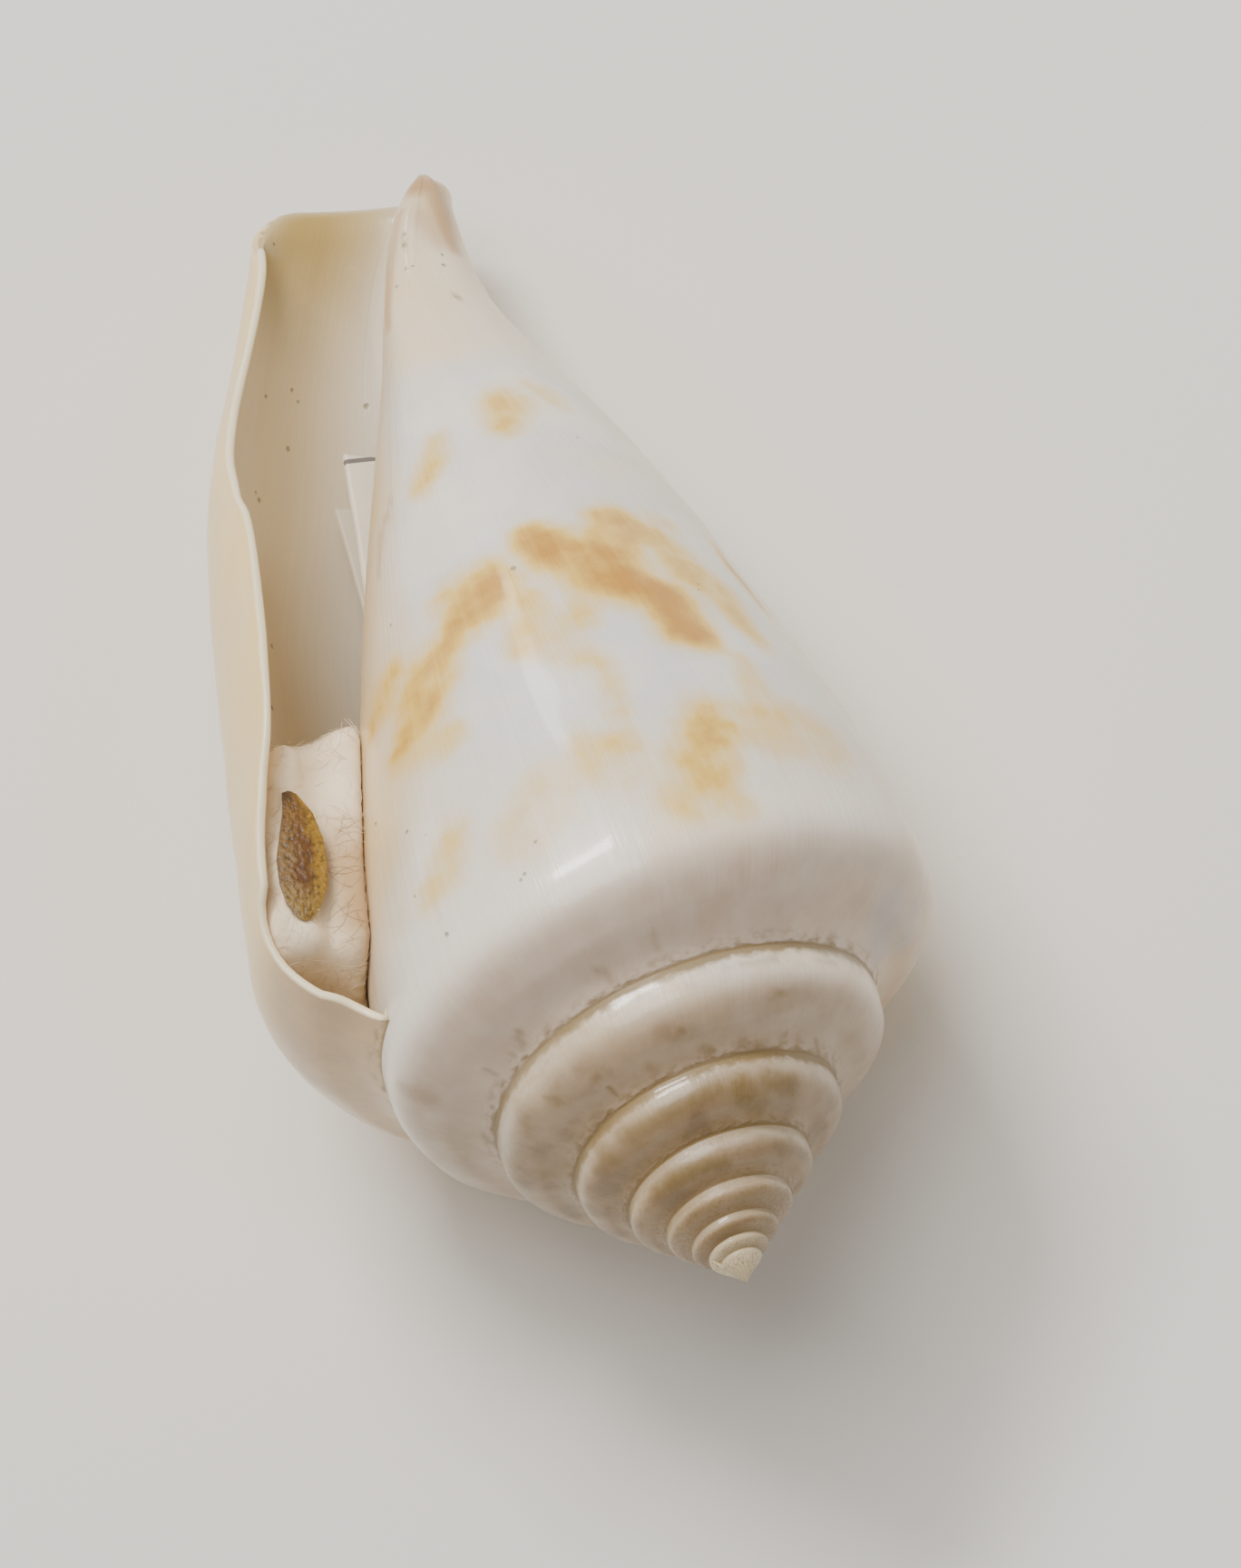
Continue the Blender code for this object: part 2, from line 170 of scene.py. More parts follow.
def shoulderSteps(mark, angle):
    # the corner of the shoulder at a growth angle, and the top of the side below it
    return [
        ("turns" + mark, "DIVIDE", angle, tau),
        ("near" + mark, "MULTIPLY_ADD CLAMP", "turns" + mark, -1 / 1.5, 1.0),
        ("near" + mark, "MULTIPLY", "near" + mark, "near" + mark),
        ("across" + mark, "POWER", "whorlRatio", "turns" + mark),
        ("along" + mark, "POWER", "heightRatio", "turns" + mark),
        ("tight" + mark, "MULTIPLY", "near" + mark, "lipTightening"),
        ("tight" + mark, "SUBTRACT", 1.0, "tight" + mark),
        ("size" + mark, "MULTIPLY", "across" + mark, "tight" + mark),
        ("corner" + mark, "MULTIPLY", "size" + mark, "shoulderRadius"),
        ("stretch" + mark, "MULTIPLY_ADD", "near" + mark, "lipStretch", 1.0),
        ("depth" + mark, "MULTIPLY", "along" + mark, "stretch" + mark),
        ("depth" + mark, "MULTIPLY", "depth" + mark, "shoulderDepth"),
        ("round" + mark, "MULTIPLY", "size" + mark, "shoulderRound"),
        ("lip" + mark, "EASE", angle, math.pi, 0.0),
        ("steeper" + mark, "SUBTRACT", "lipSideSlope", "sideSlope"),
        ("slope" + mark, "MULTIPLY_ADD", "steeper" + mark, "lip" + mark, "sideSlope"),
        ("sine" + mark, "SINE", "slope" + mark),
        ("cosine" + mark, "COSINE", "slope" + mark),
        ("tuck" + mark, "MULTIPLY", "round" + mark, "sine" + mark),
        ("topR" + mark, "SUBTRACT", "corner" + mark, "tuck" + mark),
        ("topD" + mark, "MULTIPLY_ADD", "round" + mark, "cosine" + mark, "depth" + mark),
    ]


sectionSteps = [
    # the ramp runs from the older whorl's side to the shoulder, a little hollow
    ("runR", "SUBTRACT", "corner", "topROlder"),
    ("runD", "SUBTRACT", "depth", "topDOlder"),
    ("runR2", "MULTIPLY", "runR", "runR"),
    ("run2", "MULTIPLY_ADD", "runD", "runD", "runR2"),
    ("run", "SQRT", "run2"),
    ("out", "DIVIDE", "runR", "run"),
    ("down", "DIVIDE", "runD", "run"),
    ("roundOut", "MULTIPLY", "round", "out"),
    ("roundDown", "MULTIPLY", "round", "down"),
    ("startR", "SUBTRACT", "corner", "roundOut"),
    ("startD", "SUBTRACT", "depth", "roundDown"),
    ("t", "ADD CLAMP", "place", 0.0),
    ("arch", "MULTIPLY", "t", math.pi),
    ("arch", "SINE", "arch"),
    ("share", "DIVIDE", "corner", "shoulderRadius"),
    ("sag", "MULTIPLY", "share", "rampSag"),
    ("sag", "MULTIPLY", "sag", "arch"),
    ("sagR", "MULTIPLY", "sag", "down"),
    ("sagD", "MULTIPLY", "sag", "out"),
    ("rampR", "SUBTRACT", "startR", "topROlder"),
    ("rampR", "MULTIPLY_ADD", "rampR", "t", "topROlder"),
    ("rampR", "SUBTRACT", "rampR", "sagR"),
    ("rampD", "SUBTRACT", "startD", "topDOlder"),
    ("rampD", "MULTIPLY_ADD", "rampD", "t", "topDOlder"),
    ("rampD", "ADD", "rampD", "sagD"),
    # the shoulder is a cubic round its corner
    ("s", "SUBTRACT CLAMP", "place", 1.0),
    ("back", "SUBTRACT", 1.0, "s"),
    ("both", "MULTIPLY", "s", "back"),
    ("hollowFull", "SUBTRACT", 1.0, "fullness"),
    ("cornerShare", "MULTIPLY", "both", 3.0),
    ("outerShare", "MULTIPLY", "cornerShare", "hollowFull"),
    ("cornerShare", "MULTIPLY", "cornerShare", "fullness"),
    ("back3", "POWER", "back", 3.0),
    ("s3", "POWER", "s", 3.0),
    ("firstShare", "MULTIPLY_ADD", "outerShare", "back", "back3"),
    ("lastShare", "MULTIPLY_ADD", "outerShare", "s", "s3"),
    ("roundR", "MULTIPLY", "startR", "firstShare"),
    ("roundR", "MULTIPLY_ADD", "corner", "cornerShare", "roundR"),
    ("roundR", "MULTIPLY_ADD", "topR", "lastShare", "roundR"),
    ("roundD", "MULTIPLY", "startD", "firstShare"),
    ("roundD", "MULTIPLY_ADD", "depth", "cornerShare", "roundD"),
    ("roundD", "MULTIPLY_ADD", "topD", "lastShare", "roundD"),
    # the side runs down to the siphonal end, with the lip's flare and the finger's knob
    ("u", "SUBTRACT CLAMP", "place", 2.0),
    ("w", "SUBTRACT", 1.0, "u"),
    ("uw", "MULTIPLY", "u", "w"),
    ("u2", "MULTIPLY", "u", "u"),
    ("u3", "MULTIPLY", "u2", "u"),
    ("ease", "MULTIPLY_ADD", "u", -2.0, 3.0),
    ("ease", "MULTIPLY", "ease", "u2"),
    ("pull", "TANGENT", "slope"),
    ("fall", "SUBTRACT", "rimD", "topD"),
    ("pull", "MULTIPLY", "pull", "fall"),
    ("uww", "MULTIPLY", "uw", "w"),
    ("uuw", "MULTIPLY", "uw", "u"),
    ("sideR", "SUBTRACT", "tipRadius", "topR"),
    ("sideR", "MULTIPLY_ADD", "sideR", "ease", "topR"),
    ("pull", "MULTIPLY", "pull", "uww"),
    ("sideR", "SUBTRACT", "sideR", "pull"),
    ("endPull", "MULTIPLY", "sidePull", "uuw"),
    ("sideR", "SUBTRACT", "sideR", "endPull"),
    ("bulge", "MULTIPLY", "uw", "uw"),
    ("bulge", "MULTIPLY", "bulge", 16.0),
    ("sideR", "MULTIPLY_ADD", "bulge", "sideBulge", "sideR"),
    ("wave", "MULTIPLY", "u", tau),
    ("wave", "SINE", "wave"),
    ("wave", "MULTIPLY", "wave", "uw"),
    ("wave", "MULTIPLY", "wave", 4.0),
    ("sideR", "MULTIPLY_ADD", "wave", "sideWave", "sideR"),
    ("stand", "MULTIPLY", "uww", 3.0),
    ("stand", "MULTIPLY", "stand", "flareTop"),
    ("middle", "MULTIPLY", "uuw", 3.0),
    ("stand", "MULTIPLY_ADD", "middle", "flareMiddle", "stand"),
    ("flare", "EASE", "growth", math.radians(375), 0.0),
    ("flare", "POWER", "flare", 0.6),
    ("stand", "MULTIPLY", "stand", "flare"),
    ("flareLow", "EASE", "growth", math.radians(260), 0.0),
    ("flareLow", "POWER", "flareLow", 0.75),
    ("low", "MULTIPLY", "u3", "flareEnd"),
    ("stand", "MULTIPLY_ADD", "low", "flareLow", "stand"),
    ("closed", "EASE", "growth", math.radians(110), math.radians(200)),
    ("slim", "EASE", "u", 0.84, 1.0),
    ("slim", "MULTIPLY", "slim", "closed"),
    ("slim", "MULTIPLY_ADD", "slim", -0.5, 1.0),
    ("sideR", "MULTIPLY_ADD", "stand", "slim", "sideR"),
    ("knob", "MULTIPLY_ADD", "u", 1 / 0.07, -0.94 / 0.07),
    ("knob", "MULTIPLY", "knob", "knob"),
    ("knob", "MULTIPLY", "knob", -1.0),
    ("knob", "EXPONENT", "knob"),
    ("knob", "MULTIPLY", "knob", "closed"),
    ("sideR", "MULTIPLY_ADD", "knob", "knobSwell", "sideR"),
    ("nearTip", "MULTIPLY_ADD CLAMP", "u", 1 / 0.07, -0.93 / 0.07),
    ("tip", "MULTIPLY", "nearTip", "nearTip"),
    ("tip", "SUBTRACT", 1.0, "tip"),
    ("tip", "MAXIMUM", "tip", 0.05),
    ("tip", "SQRT", "tip"),
    ("tip", "SUBTRACT", "tip", 1.0),
    ("tip", "MULTIPLY_ADD", "tip", "closed", 1.0),
    ("sideR", "MULTIPLY", "sideR", "tip"),
    ("sideD", "MULTIPLY_ADD", "fall", "u", "topD"),
    # whichever stretch the place is on
    ("pastRamp", "GREATER_THAN", "place", 1.0),
    ("pastRound", "GREATER_THAN", "place", 2.0),
    ("stepR", "SUBTRACT", "roundR", "rampR"),
    ("radius", "MULTIPLY_ADD", "stepR", "pastRamp", "rampR"),
    ("stepR", "SUBTRACT", "sideR", "roundR"),
    ("radius", "MULTIPLY_ADD", "stepR", "pastRound", "radius"),
    ("stepD", "SUBTRACT", "roundD", "rampD"),
    ("fallen", "MULTIPLY_ADD", "stepD", "pastRamp", "rampD"),
    ("stepD", "SUBTRACT", "sideD", "roundD"),
    ("fallen", "MULTIPLY_ADD", "stepD", "pastRound", "fallen"),
]


sectionOutputs = ["radius", "fallen", "topD", "rimD"]


def makeSectionTree():
    tree = bpy.data.node_groups.new("whorlSection", "GeometryNodeTree")
    known = {}
    for name in ["growth", "place", *shellSizes]:
        tree.interface.new_socket(name, in_out="INPUT", socket_type="NodeSocketFloat")
    for name in sectionOutputs:
        tree.interface.new_socket(name, in_out="OUTPUT", socket_type="NodeSocketFloat")
    entry = addNode(tree, "NodeGroupInput")
    for name in ["growth", "place", *shellSizes]:
        known[name] = entry.outputs[name]
    last = math.radians(shellShape["rimAt"][-1])
    addFormula(tree, known, [("rimTurn", "DIVIDE CLAMP", "growth", last), ("older", "ADD", "growth", tau)])
    span = 100.0  # the curve holds depths as shares of this many mm
    rim = [(math.radians(a) / last, d / span) for a, d in zip(shellShape["rimAt"], shellShape["rimDepth"])]
    curve = addNode(tree, "ShaderNodeFloatCurve", {"points": rim}, {"Value": known["rimTurn"]})
    known["rimShare"] = curve.outputs[0]
    addFormula(tree, known, [("rimD", "MULTIPLY", "rimShare", span)])
    addFormula(tree, known, shoulderSteps("", "growth") + shoulderSteps("Older", "older"))
    oldest = tau * (shellShape["whorls"] - 1) + 0.001
    addFormula(tree, known, [
        # the oldest whorl starts at the apex itself
        ("begun", "LESS_THAN", "growth", oldest),
        ("topROlder", "MULTIPLY", "topROlder", "begun"),
        ("topDOlder", "ADD", "topDOlder", shellShape["apexHeight"]),
        ("topDOlder", "MULTIPLY_ADD", "topDOlder", "begun", -shellShape["apexHeight"]),
    ])
    fullness = ("fullness", "MULTIPLY_ADD", "lip", shellShape["lipShoulder"], "shoulderFull")
    addFormula(tree, known, [fullness] + sectionSteps)
    addNode(tree, "NodeGroupOutput", {}, {name: known[name] for name in sectionOutputs})
    return tree


def addPatch(tree, rows, columns, growth, place, inner, edge=(0.0, 0.0)):
    # a grid of the surface: growth and place each run from the first number to the second
    grid = addNode(tree, "GeometryNodeMeshGrid", {}, {0: 1.0, 1: 1.0, 2: rows + 1, 3: columns + 1})
    where = addNode(tree, "GeometryNodeInputPosition").outputs[0]
    at = addNode(tree, "ShaderNodeSeparateXYZ", {}, {0: where})
    known = {"x": at.outputs[0], "y": at.outputs[1]}
    power = shellShape["crowding"]
    start, end = place
    if end <= 2:
        first = (start / 2) ** (1 / power)
        steps = [
            ("y", "MULTIPLY_ADD", "y", 1 - first, 1 - (1 - first) / 2),
            ("y", "POWER", "y", power),
            ("place", "MULTIPLY", "y", 2.0),
        ]
    elif end <= 3:
        first = (3 - start) ** (1 / power)
        steps = [
            ("y", "MULTIPLY_ADD", "y", -first, first / 2),
            ("y", "MAXIMUM", "y", 0.0),
            ("y", "POWER", "y", power),
            ("place", "SUBTRACT", 3.0, "y"),
        ]
    else:
        steps = [("place", "MULTIPLY_ADD", "y", end - start, (start + end) / 2)]
    steps += [
        ("growth", "MULTIPLY_ADD", "x", growth[1] - growth[0], (growth[0] + growth[1]) / 2),
        ("edge", "MULTIPLY_ADD", "x", edge[1] - edge[0], (edge[0] + edge[1]) / 2),
    ]
    addFormula(tree, known, steps)
    known["inner"] = inner
    stored = grid.outputs["Mesh"]
    for name in ("growth", "place", "edge", "inner"):
        keep = addNode(
            tree, "GeometryNodeStoreNamedAttribute", {"data_type": "FLOAT"},
            {"Geometry": stored, "Name": name, "Value": known[name]},
        )
        stored = keep.outputs[0]
    return stored


def makeShellTree(material):
    shape = shellShape
    tree = bpy.data.node_groups.new("growShell", "GeometryNodeTree")
    for way in ("INPUT", "OUTPUT"):
        tree.interface.new_socket("Geometry", in_out=way, socket_type="NodeSocketGeometry")
    for name in shellSizes:
        tree.interface.new_socket(name, in_out="INPUT", socket_type="NodeSocketFloat")
    entry = addNode(tree, "NodeGroupInput")
    rows, edge = shape["rowsPerWhorl"], shape["edgeRows"]
    ramp, side = shape["rampColumns"], shape["sideColumns"]
    deep = tau * shape["hollowRows"] / rows
    firstRamp = 2 * (1 / ramp) ** shape["crowding"]
    firstSide = 3 - (1 - 1 / side) ** shape["crowding"]
    patches = [
        (shape["whorls"] * rows, ramp, (0, shape["whorls"] * tau), (0, 2), 0.0),
        (rows, side, (0, tau), (2, 3), 0.0),
        (shape["hollowRows"], side - 1, (tau, tau + deep), (firstSide, 3), 0.0),
        (shape["hollowRows"], ramp - 1, (0, deep), (firstRamp, 2), 1.0),
        (shape["hollowRows"], side, (0, deep), (2, 3), 1.0),
        (edge, ramp, (0, 0), (0, 2), 0.0, (1, 0)),
        (edge, side, (0, 0), (2, 3), 0.0, (1, 0)),
        (edge, ramp - 1, (0, 0), (firstRamp, 2), 1.0, (1, 0)),
        (edge, side, (0, 0), (2, 3), 1.0, (1, 0)),
        (rows, 4, (deep, tau + deep), (3, 4), 0.0),
    ]
    joined = addNode(tree, "GeometryNodeJoinGeometry")
    for patch in patches:
        tree.links.new(addPatch(tree, *patch), joined.inputs[0])
    known = {name: entry.outputs[name] for name in shellSizes}
    for name in ("growth", "place", "edge", "inner"):
        kept = addNode(tree, "GeometryNodeInputNamedAttribute", {"data_type": "FLOAT"}, {"Name": name})
        known[name] = kept.outputs[0]
    section = makeSectionTree()

    def cutAt(growth, place):
        # where the section lies at a growth angle and a place on it
        inputs = {name: known[name] for name in shellSizes}
        inputs.update(growth=known[growth], place=known[place])
        return addNode(tree, "GeometryNodeGroup", {"node_tree": section}, inputs).outputs

    addFormula(tree, known, [
        ("onShell", "MINIMUM", "place", 3.0),
        ("before", "SUBTRACT", "onShell", shape["cutStep"]),
        ("after", "ADD", "onShell", shape["cutStep"]),
        ("older", "ADD", "growth", tau),
    ])
    for mark, growth, place in (
        ("", "growth", "onShell"), ("Before", "growth", "before"),
        ("After", "growth", "after"), ("Core", "older", "onShell"),
    ):
        cut = cutAt(growth, place)
        for output in sectionOutputs:
            known[output + mark] = cut[output]
    addFormula(tree, known, [
        # the wall's thickness, and how it rounds off at the lip and at the siphonal rim
        ("wall", "EASE", "growth", 0.0, math.radians(50)),
        ("thicker", "SUBTRACT", "wallThickness", "lipThickness"),
        ("wall", "MULTIPLY_ADD", "thicker", "wall", "lipThickness"),
        ("half", "MULTIPLY", "wall", 0.5),
        ("lipFade", "EASE", "onShell", 0.0, 0.12),
        ("edge", "MULTIPLY", "edge", "lipFade"),
        ("edge2", "MULTIPLY", "edge", "edge"),
        ("notEdge", "SUBTRACT CLAMP", 1.0, "edge2"),
        ("rimNear", "MULTIPLY_ADD CLAMP", "onShell", 1 / 0.016, -2.984 / 0.016),
        ("rimNear", "MULTIPLY", "rimNear", "rimNear"),
        ("open", "EASE", "growth", deep, deep * 0.86),
        ("rimNear", "MULTIPLY", "rimNear", "open"),
        ("rimFull", "SUBTRACT CLAMP", 1.0, "rimNear"),
        ("full", "MULTIPLY", "notEdge", "rimFull"),
        ("full", "SQRT", "full"),
        ("sign", "MULTIPLY_ADD", "inner", 2.0, -1.0),
        ("full", "MULTIPLY_ADD", "full", "sign", 1.0),
        ("inward", "MULTIPLY", "half", "full"),
        # the suture lies in a narrow channel
        ("channel", "MULTIPLY", "onShell", 1 / 0.05),
        ("dip", "SUBTRACT", 1.0, "channel"),
        ("dip", "EXPONENT", "dip"),
        ("dip", "MULTIPLY", "dip", "channel"),
        ("dip", "MULTIPLY", "dip", "sutureDepth"),
        ("shareOld", "DIVIDE CLAMP", "growth", tau * 5),
        ("shareOld", "MULTIPLY_ADD", "shareOld", -0.8, 1.0),
        ("dip", "MULTIPLY", "dip", "shareOld"),
        ("inward", "ADD", "inward", "dip"),
        # across the section
        ("alongR", "SUBTRACT", "radiusAfter", "radiusBefore"),
        ("alongD", "SUBTRACT", "fallenAfter", "fallenBefore"),
        ("alongR2", "MULTIPLY", "alongR", "alongR"),
        ("length", "MULTIPLY_ADD", "alongD", "alongD", "alongR2"),
        ("length", "SQRT", "length"),
        ("length", "MAXIMUM", "length", 1e-6),
        ("inR", "DIVIDE", "alongD", "length"),
        ("inD", "DIVIDE", "alongR", "length"),
        ("inR", "MULTIPLY", "inR", "inward"),
        ("inD", "MULTIPLY", "inD", "inward"),
        ("radius", "SUBTRACT", "radius", "inR"),
        ("fallen", "ADD", "fallen", "inD"),
    ])
    # the hollow's wall never enters the older whorl inside it
    addFormula(tree, known, [
        ("coreFall", "SUBTRACT", "rimDCore", "topDCore"),
        ("coreU", "SUBTRACT", "fallen", "topDCore"),
        ("coreU", "DIVIDE CLAMP", "coreU", "coreFall"),
        ("corePlace", "ADD", "coreU", 2.0),
    ])
    known["coreR"] = cutAt("older", "corePlace")["radius"]
    addFormula(tree, known, [
        ("off", "ADD", "coreR", 0.03),
        ("kept", "MAXIMUM", "radius", "off"),
        ("kept", "SUBTRACT", "kept", "radius"),
        ("radius", "MULTIPLY_ADD", "kept", "inner", "radius"),
        # its first column is the older whorl's, and so is its deep end
        ("first", "LESS_THAN", "onShell", firstRamp + 0.001),
        ("deepEnd", "EASE", "growth", deep * 0.8, deep),
        ("first", "MAXIMUM", "first", "deepEnd"),
        ("first", "MULTIPLY", "first", "inner"),
        ("onCore", "MAXIMUM", "onShell", firstSide),
    ])
    cut = cutAt("older", "onCore")
    known["endR"], known["endD"] = cut["radius"], cut["fallen"]
    addFormula(tree, known, [
        ("u", "SUBTRACT CLAMP", "onShell", 2.0),
        ("alongLip", "DIVIDE", "onShell", 3.0),
    ])
    most = 20.0  # the curve holds the lead as shares of this many degrees
    lead = [(place / 3, degrees / most) for place, degrees in zip(shape["leadAt"], shape["lead"])]
    curve = addNode(tree, "ShaderNodeFloatCurve", {"points": lead}, {"Value": known["alongLip"]})
    known["leadShare"] = curve.outputs[0]
    addFormula(tree, known, [
        ("endR", "SUBTRACT", "endR", "radius"),
        ("radius", "MULTIPLY_ADD", "endR", "first", "radius"),
        ("endD", "SUBTRACT", "endD", "fallen"),
        ("fallen", "MULTIPLY_ADD", "endD", "first", "fallen"),
        # how far the lip runs ahead of the growth angle
        ("lead", "MULTIPLY", "leadShare", most),
        ("corner", "MULTIPLY_ADD CLAMP", "u", 1 / 0.08, -0.92 / 0.08),
        ("corner", "MULTIPLY", "corner", "corner"),
        ("lead", "MULTIPLY_ADD", "corner", shape["cornerLead"], "lead"),
        ("fromSuture", "EASE", "onShell", 0.0, 0.05),
        ("lead", "MULTIPLY", "lead", "fromSuture"),
        ("lead", "MULTIPLY", "lead", math.radians(1)),
        ("leadFade", "EASE", "growth", math.radians(200), 0.0),
        ("notFirst", "SUBTRACT", 1.0, "first"),
        ("leadFade", "MULTIPLY", "leadFade", "notFirst"),
        ("angle", "MULTIPLY_ADD", "lead", "leadFade", "growth"),
        ("angle", "ADD", "angle", shape["lipAngle"]),
        ("ahead", "MULTIPLY", "edge", "half"),
        ("ahead", "DIVIDE", "ahead", "radius"),
        ("ahead", "MULTIPLY", "ahead", "notFirst"),
        ("angle", "SUBTRACT", "angle", "ahead"),
        # the siphonal end bends, and its finger more
        ("bend", "MULTIPLY_ADD CLAMP", "fallen", 2 / shape["length"], -1.0),
        ("bend", "MULTIPLY", "bend", "bend"),
        ("finger", "MULTIPLY_ADD CLAMP", "fallen", 1 / 0.15 / shape["length"], -0.85 / 0.15),
        ("finger", "MULTIPLY", "finger", "finger"),
        ("fingerFull", "EASE", "growth", 0.0, math.radians(110)),
        ("fingerFull", "MAXIMUM", "fingerFull", "first"),
        ("finger", "MULTIPLY", "finger", "fingerFull"),
        ("sine", "SINE", "angle"),
        ("cosine", "COSINE", "angle"),
        ("x", "MULTIPLY", "radius", "cosine"),
        ("x", "MULTIPLY_ADD", "bend", shape["tipBend"][0], "x"),
        ("x", "MULTIPLY_ADD", "finger", shape["fingerBend"], "x"),
        ("y", "MULTIPLY", "radius", "sine"),
        ("y", "MULTIPLY_ADD", "bend", shape["tipBend"][1], "y"),
        # past the rim the finger's end closes to a point
        ("cap", "SUBTRACT CLAMP", "place", 3.0),
        ("tipX", "SUBTRACT", shape["tipBend"][0] + shape["fingerBend"], "x"),
        ("x", "MULTIPLY_ADD", "tipX", "cap", "x"),
        ("tipY", "SUBTRACT", shape["tipBend"][1], "y"),
        ("y", "MULTIPLY_ADD", "tipY", "cap", "y"),
        ("tipD", "SUBTRACT", shape["length"] + 0.15, "fallen"),
        ("capRound", "MULTIPLY", "cap", math.pi / 2),
        ("capRound", "SINE", "capRound"),
        ("fallen", "MULTIPLY_ADD", "tipD", "capRound", "fallen"),
        ("z", "MULTIPLY", "fallen", -1.0),
    ])
    spot = addNode(tree, "ShaderNodeCombineXYZ", {}, {0: known["x"], 1: known["y"], 2: known["z"]})
    # a slow unevenness, none where two patches meet across a suture
    rough = addNode(
        tree, "ShaderNodeTexNoise", {"noise_dimensions": "3D"},
        {"Vector": spot.outputs[0], "Scale": shape["unevenScale"], "Detail": 2.0},
    )
    known["rough"] = rough.outputs[0]
    addFormula(tree, known, [
        ("swing", "SUBTRACT", "rough", 0.5),
        ("swing", "MULTIPLY", "swing", "unevenness"),
        ("swing", "MULTIPLY", "swing", 6.0),
        ("start", "EASE", "onShell", 0.0, 0.3),
        ("swing", "MULTIPLY", "swing", "start"),
        ("old", "EASE", "growth", tau * 0.9, tau),
        ("topEnd", "EASE", "onShell", 1.7, 2.0),
        ("topEnd", "MULTIPLY", "topEnd", "old"),
        ("topEnd", "SUBTRACT", 1.0, "topEnd"),
        ("tipEnd", "EASE", "onShell", 3.0, 2.9),
        ("swing", "MULTIPLY", "swing", "topEnd"),
        ("swing", "MULTIPLY", "swing", "tipEnd"),
        ("notInner", "SUBTRACT", 1.0, "inner"),
        ("notInner", "MULTIPLY", "notInner", "notEdge"),
        ("swing", "MULTIPLY", "swing", "notInner"),
        ("swayX", "MULTIPLY", "cosine", "swing"),
        ("swayY", "MULTIPLY", "sine", "swing"),
        ("x", "ADD", "x", "swayX"),
        ("y", "ADD", "y", "swayY"),
    ])
    spot = addNode(tree, "ShaderNodeCombineXYZ", {}, {0: known["x"], 1: known["y"], 2: known["z"]})
    placed = addNode(
        tree, "GeometryNodeSetPosition", {},
        {"Geometry": joined.outputs[0], "Position": spot.outputs[0]},
    )
    addFormula(tree, known, [("turn", "DIVIDE", "growth", tau)])
    pair = addNode(tree, "ShaderNodeCombineXYZ", {}, {0: known["turn"], 1: known["place"], 2: 0.0})
    mapped = addNode(
        tree, "GeometryNodeStoreNamedAttribute", {"data_type": "FLOAT2", "domain": "CORNER"},
        {"Geometry": placed.outputs[0], "Name": "growthMap", "Value": pair.outputs[0]},
    )
    real = addNode(tree, "GeometryNodeRealizeInstances", {}, {0: mapped.outputs[0]})
    dressed = addNode(
        tree, "GeometryNodeSetMaterial", {}, {"Geometry": real.outputs[0], "Material": material}
    )
    addNode(tree, "NodeGroupOutput", {}, {"Geometry": dressed.outputs[0]})
    return tree


def grown(name, tree, values, base=None):
    # runs a node tree on a mesh, or on none, and keeps the result as a plain one
    carrier = bpy.data.objects.new(name + "Carrier", base or bpy.data.meshes.new(name + "Carrier"))
    bpy.context.scene.collection.objects.link(carrier)
    modifier = carrier.modifiers.new("grow", "NODES")
    modifier.node_group = tree
    for socket in tree.interface.items_tree:
        if socket.in_out == "INPUT" and socket.name in values:
            modifier[socket.identifier] = values[socket.name]
    bpy.context.view_layer.update()
    graph = bpy.context.evaluated_depsgraph_get()
    mesh = bpy.data.meshes.new_from_object(carrier.evaluated_get(graph), depsgraph=graph)
    bpy.data.objects.remove(carrier, do_unlink=True)
    mesh.name = name
    return mesh


def addPiece(name, mesh, replaced):
    piece = bpy.data.objects.new(name, mesh)
    bpy.context.scene.collection.objects.link(piece)
    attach(piece, "root")
    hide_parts(replaced)
    return piece


def lying():
    # turns the grown shell, apex up, into the lying one, and millimetres into metres
    turn = Matrix.Rotation(shellShape["restDip"], 4, "X") @ Matrix.Rotation(math.pi / 2, 4, "X")
    turn = turn @ Matrix.Rotation(math.pi, 4, "Z")
    return Matrix.Scale(mm, 4) @ Matrix.Translation(-Vector(shellShape["restPoint"])) @ turn


def closeShell(mesh):
    made = bmesh.new()
    made.from_mesh(mesh)
    bmesh.ops.remove_doubles(made, verts=made.verts, dist=shellShape["weld"])
    loose = [v for v in made.verts if not v.link_faces]
    bmesh.ops.delete(made, geom=loose, context="VERTS")
    gaps = [e for e in made.edges if e.is_boundary]
    bmesh.ops.holes_fill(made, edges=gaps, sides=0)
    bmesh.ops.recalc_face_normals(made, faces=made.faces)
    if made.calc_volume(signed=True) < 0:
        bmesh.ops.reverse_faces(made, faces=made.faces)
    made.to_mesh(mesh)
    made.free()
    mesh.transform(lying())
    # rubbed to a small flat where it rests
    for vert in mesh.vertices:
        vert.co.z = max(vert.co.z, 0)
    mesh.shade_smooth()
    mesh.set_sharp_from_angle(angle=shellShape["sharpEdge"])


